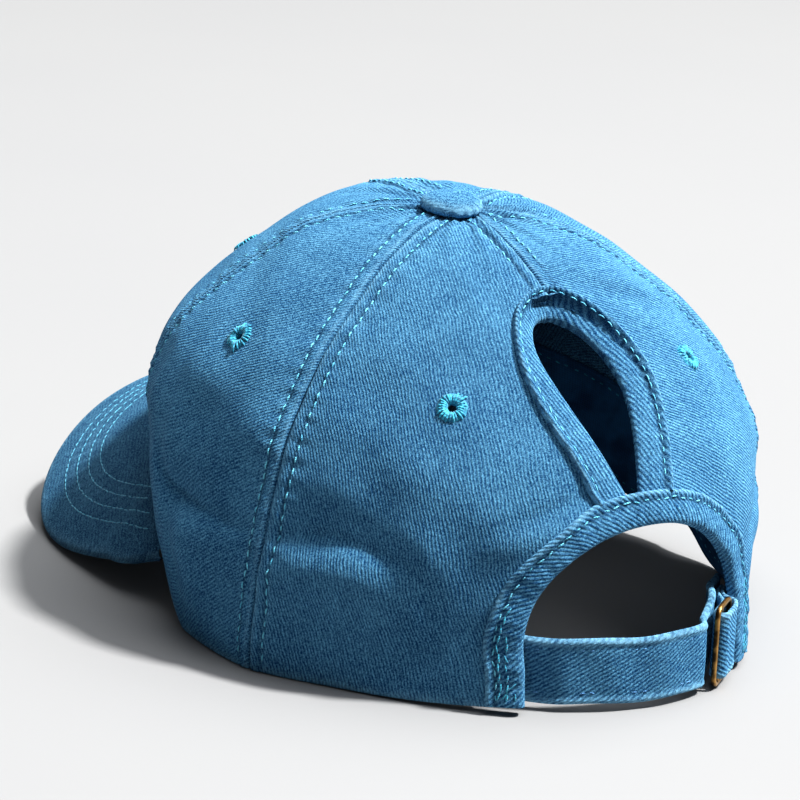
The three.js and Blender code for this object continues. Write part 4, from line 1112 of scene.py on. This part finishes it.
def strap_place(t, offset, z):
    """A place beside the strap's line: offset is positive towards the back."""
    t, offset, z = np.broadcast_arrays(t, offset, z)
    share = np.linspace(0, 1, len(strap_line))
    out = unit(places_on(t, share, strap_out))
    x, y = np.moveaxis(places_on(t, share, strap_line) + out * offset[..., None], -1, 0)
    return stacked(x, y, z)


BUCKLE = {"height": 22.4, "wire": 1.7, "bottom": 0.6, "start": 0.693, "end": 0.812, "corner": 2.4,
          "second_bar": 3.4, "second_wire": 1.45, "offset": 2.0}


def strap_tail(t):
    """How far the strap has gone in under the buckle, from 0 to 1."""
    return smooth((t - BUCKLE["start"] + 0.045) / 0.07)


def strap_sway(t):
    return 0.22 * np.sin(t * 23 + 1)


strap_section = band_section(0.0, STRAP["height"], -STRAP["thickness"] / 2, STRAP["thickness"] / 2, 1.5, 0.3)
t = np.linspace(0, 1, 260)[:, None]
raised = STRAP["tail_rise"] * smooth((t - BUCKLE["start"] - 0.02) / 0.12)
sway = 0.25 * np.sin(t * 40) * np.sin(strap_section[None, :, 1] / 5) * (1 - strap_tail(t))
points = strap_place(t, strap_section[None, :, 0] + sway - STRAP["tail_drop"] * strap_tail(t),
                     STRAP["bottom"] + raised + strap_section[None, :, 1] + strap_sway(t))
make_band("cloth_strap", points, strap_section, twill("bias_twill_strap", -58, pitch=1.0, relief=0.24),
          "twill", ["strap"], 0.55)
rows = []
fine = np.linspace(0.03, BUCKLE["start"] - 0.01, 300)
for height in (STRAP["height"] - STRAP_ROW_INSET, STRAP_ROW_INSET):
    line = strap_place(fine, 0.62 - STRAP["tail_drop"] * strap_tail(fine),
                       STRAP["bottom"] + height + strap_sway(fine))
    out = unit(strap_place(fine, 1.0, 0.0) - strap_place(fine, 0.0, 0.0))
    rows.append(thread_row(line, out, width=0.45, lift=0.15, pitch=2.8))
strap_thread = thread("faded_blue_thread", dyed(96, 156, 206), dyed(44, 96, 150))
make_stitches("strap_stitches", rows, strap_thread)

# Keeper: a short loop of the same twill that holds the buckle, its two ends drawn together
# and sewn inside the right foot of the arch.
KEEPER = {"height": 18.0, "bottom": 3.0, "start": 0.708, "end": 0.95, "cloth": 1.0, "tongue": 0.87}
STRAP_SHARE_PER_MM = 0.0091


def keeper_half(t):
    """The middle of the loop beside the strap's line, and half the space inside it."""
    bar_space = BUCKLE["wire"] / 2 + 0.3
    drawn = smooth((t - KEEPER["tongue"] + 0.045) / 0.045)
    middle = BUCKLE["offset"] + (0.2 - BUCKLE["offset"]) * drawn
    return middle, bar_space * (1 - drawn) + 0.05 * drawn


loop_start = KEEPER["start"] + 0.02
steps = np.linspace(KEEPER["end"], loop_start, 70)
middle, half = keeper_half(steps)
outer = strap_place(steps, middle + half, 0.0)
inner = strap_place(steps, middle - half, 0.0)[::-1]
turn = np.linspace(math.pi / 2, -math.pi / 2, 12)[1:-1]
bend = strap_place(loop_start - half[-1] * np.cos(turn) * STRAP_SHARE_PER_MM,
                   middle[-1] + half[-1] * np.sin(turn), 0.0)
loop = np.concatenate([outer, bend, inner])
loop_way = unit(np.gradient(loop, axis=0))
loop_out = stacked(loop_way[:, 1], -loop_way[:, 0], 0.0)
loop_out = loop_out * np.sign((loop_out[0] * (outer[0] - inner[-1])).sum())
keeper_section = band_section(0.0, KEEPER["height"], 0.05, KEEPER["cloth"] + 0.05, 1.7, 0.25)
points = loop[:, None] + loop_out[:, None] * keeper_section[None, :, :1]
points[..., 2] = KEEPER["bottom"] + keeper_section[None, :, 1]
make_band("cloth_keeper", points, keeper_section, twill("bias_twill_keeper", -58, pitch=1.0, relief=0.24),
          "twill", ["strap_keeper"], 0.5)

# Buckle: a slide bent from brass wire, darkened and rubbed bright on its outer side, with a
# second bar beside the one that lies on the strap.
WIRE_SIDES, WIRE_SHARE = 14, 0.4
buckle_start, buckle_end = strap_place(np.array([BUCKLE["start"], BUCKLE["end"]]), BUCKLE["offset"], 0.0)
buckle_run = unit(buckle_end - buckle_start)
buckle_out = np.array([buckle_run[1], -buckle_run[0], 0])
buckle_length = float(np.linalg.norm(buckle_end - buckle_start))


def wire_piece(path, closes, wire):
    """Rings of points round a bent wire, with its lacquer rubbed away on the side that shows."""
    path = np.array(path)
    way = unit(np.roll(path, -1, 0) - np.roll(path, 1, 0) if closes else np.gradient(path, axis=0))
    across = unit(np.cross(way, buckle_out))
    spin = circle(WIRE_SIDES)
    square = 1 / (np.abs(np.cos(spin)) ** 3 + np.abs(np.sin(spin)) ** 3) ** (1 / 3)
    radius = wire * WIRE_SHARE
    out, side = np.cos(spin) * square * radius, np.sin(spin) * square * radius
    rings = path[:, None] + buckle_out * out[None, :, None] + across[:, None] * side[None, :, None]
    rub = np.broadcast_to(smooth((np.cos(spin) - 0.1) / 0.9), rings.shape[:2])
    faces = net_faces(len(path) + closes, WIRE_SIDES, closes=True) % (len(path) * WIRE_SIDES)
    return rings.reshape(-1, 3), faces, rub.ravel()


low = BUCKLE["bottom"] + BUCKLE["wire"] / 2
high = BUCKLE["bottom"] + BUCKLE["height"] - BUCKLE["wire"] / 2
corner = BUCKLE["corner"]
frame_path = []
for run, z, turn in ((corner, low + corner, 270), (corner, high - corner, 180),
                     (buckle_length - corner, high - corner, 90), (buckle_length - corner, low + corner, 0)):
    for step in np.linspace(0, 90, 9):
        a = (turn - step) * RAD
        frame_path.append(buckle_start + buckle_run * (run + corner * math.cos(a))
                          + np.array([0, 0, z + corner * math.sin(a)]))
bar_path = [buckle_start + buckle_run * BUCKLE["second_bar"] + np.array([0, 0, z])
            for z in np.linspace(low, high, 12)]
frame_points, frame_faces, frame_rub = wire_piece(frame_path, True, BUCKLE["wire"])
bar_points, bar_faces, bar_rub = wire_piece(bar_path, False, BUCKLE["second_wire"])
buckle = make_piece("brass_buckle", np.concatenate([frame_points, bar_points]),
                    np.concatenate([frame_faces, bar_faces + len(frame_points)]),
                    wear_and_shade=np.concatenate([frame_rub, bar_rub]))
brass = Finish("antique_brass")
place = brass.place()
rub = brass.attribute("wear_and_shade", "Fac")
spots = brass.noise(place, 2.2, 3.0)
scratches = brass.noise(place, 0.5, 2.0)
shine = (rub * 0.75 + spots.ramp(0.4, 0.65) * 0.45 - 0.12).clipped()
colour = brass.blend(shine, dyed(58, 44, 28), dyed(196, 154, 92))
normal = bump(brass, scratches, 0.05, 0.6)
fit(buckle, brass.surface(colour, 0.5 - shine * 0.2, normal, Metallic=1.0), "buckle", "buckle")

# Where the cap stands: a plain pale table under a soft sky, with a high sun from behind the
# wearer's right, a wide soft light above, and a faint light in the crown for the sun that comes
# through its cloth. The camera stands behind the wearer's left.
TABLE_HALF = 6
SKY_TONE, SKY_STRENGTH = (0.93, 0.96, 1.0, 1.0), 0.13
SUN = {"turn": 234, "rise": 58, "strength": 7.8, "width": 6.0, "tone": (1.0, 0.98, 0.95)}
SOFTBOX = {"seat": Vector((-0.45, 0.1, 1.5)), "size": 1.8, "watts": 37.0}
GLOW = {"seat": Vector((-0.02, 0.02, 0.062)), "size": 0.07, "watts": 0.006}
CAMERA = {"turn": 147, "rise": 16.5, "distance": 900, "focal": 3318, "aim_side": -17, "roll": 2.4, "frame": 800}
CAMERA_MIDDLE = Vector((0, ORIGIN_Y, 55))
SENSOR = 36
scene = bpy.context.scene


def way_to(turn, rise):
    """The way towards a place round the cap: turn runs from the front to the left."""
    turn, rise = turn * RAD, rise * RAD
    return Vector((math.sin(turn) * math.cos(rise), -math.cos(turn) * math.cos(rise), math.sin(rise)))


def add_light(name, kind, energy, seat, way, **settings):
    """A light that shines against a way."""
    light = bpy.data.lights.new(name, kind)
    light.energy = energy
    for key, value in settings.items():
        setattr(light, key, value)
    lamp = add_object(name, light)
    lamp.location = seat
    lamp.rotation_euler = way.to_track_quat("Z", "Y").to_euler()


table_mesh = bpy.data.meshes.new("pale_table")
corners = [(-TABLE_HALF, -TABLE_HALF, 0), (TABLE_HALF, -TABLE_HALF, 0), (TABLE_HALF, TABLE_HALF, 0),
           (-TABLE_HALF, TABLE_HALF, 0)]
table_mesh.from_pydata(corners, [], [(0, 1, 2, 3)])
card = Finish("pale_card")
tone = card.blend(card.noise(card.place(), 240.0, 2.0), dyed(129, 130, 132), dyed(132, 133, 134))
table_mesh.materials.append(card.surface(tone, 0.7))
add_object("pale_table", table_mesh)

sky = bpy.data.worlds.new("soft_sky")
scene.world = sky
sky.use_nodes = True
sky.node_tree.nodes["Background"].inputs["Color"].default_value = SKY_TONE
sky.node_tree.nodes["Background"].inputs["Strength"].default_value = SKY_STRENGTH
add_light("high_sun", "SUN", SUN["strength"], Vector(), way_to(SUN["turn"], SUN["rise"]),
          angle=SUN["width"] * RAD, color=SUN["tone"])
add_light("wide_softbox", "AREA", SOFTBOX["watts"], SOFTBOX["seat"], SOFTBOX["seat"], size=SOFTBOX["size"])
add_light("light_through_the_cloth", "AREA", GLOW["watts"], GLOW["seat"], Vector((0, 0, 1)), size=GLOW["size"])

back = way_to(CAMERA["turn"], CAMERA["rise"])
eye = CAMERA_MIDDLE + back * CAMERA["distance"]
aim = CAMERA_MIDDLE + (-back).cross(Vector((0, 0, 1))).normalized() * CAMERA["aim_side"]
look = (aim - eye).normalized()
right = look.cross(Vector((0, 0, 1))).normalized()
above = right.cross(look)
roll = CAMERA["roll"] * RAD
right, above = right * math.cos(roll) + above * math.sin(roll), above * math.cos(roll) - right * math.sin(roll)
camera_data = bpy.data.cameras.new("camera")
camera_data.sensor_width = SENSOR
camera_data.lens = CAMERA["focal"] * SENSOR / CAMERA["frame"]
camera_data.clip_start, camera_data.clip_end = 0.01, 50
camera = add_object("camera", camera_data)
camera.matrix_world = Matrix.Translation(eye * MM) @ Matrix((right, above, -look)).transposed().to_4x4()
scene.camera = camera
scene.view_settings.view_transform = "Standard"
scene.view_settings.look = "Medium High Contrast"
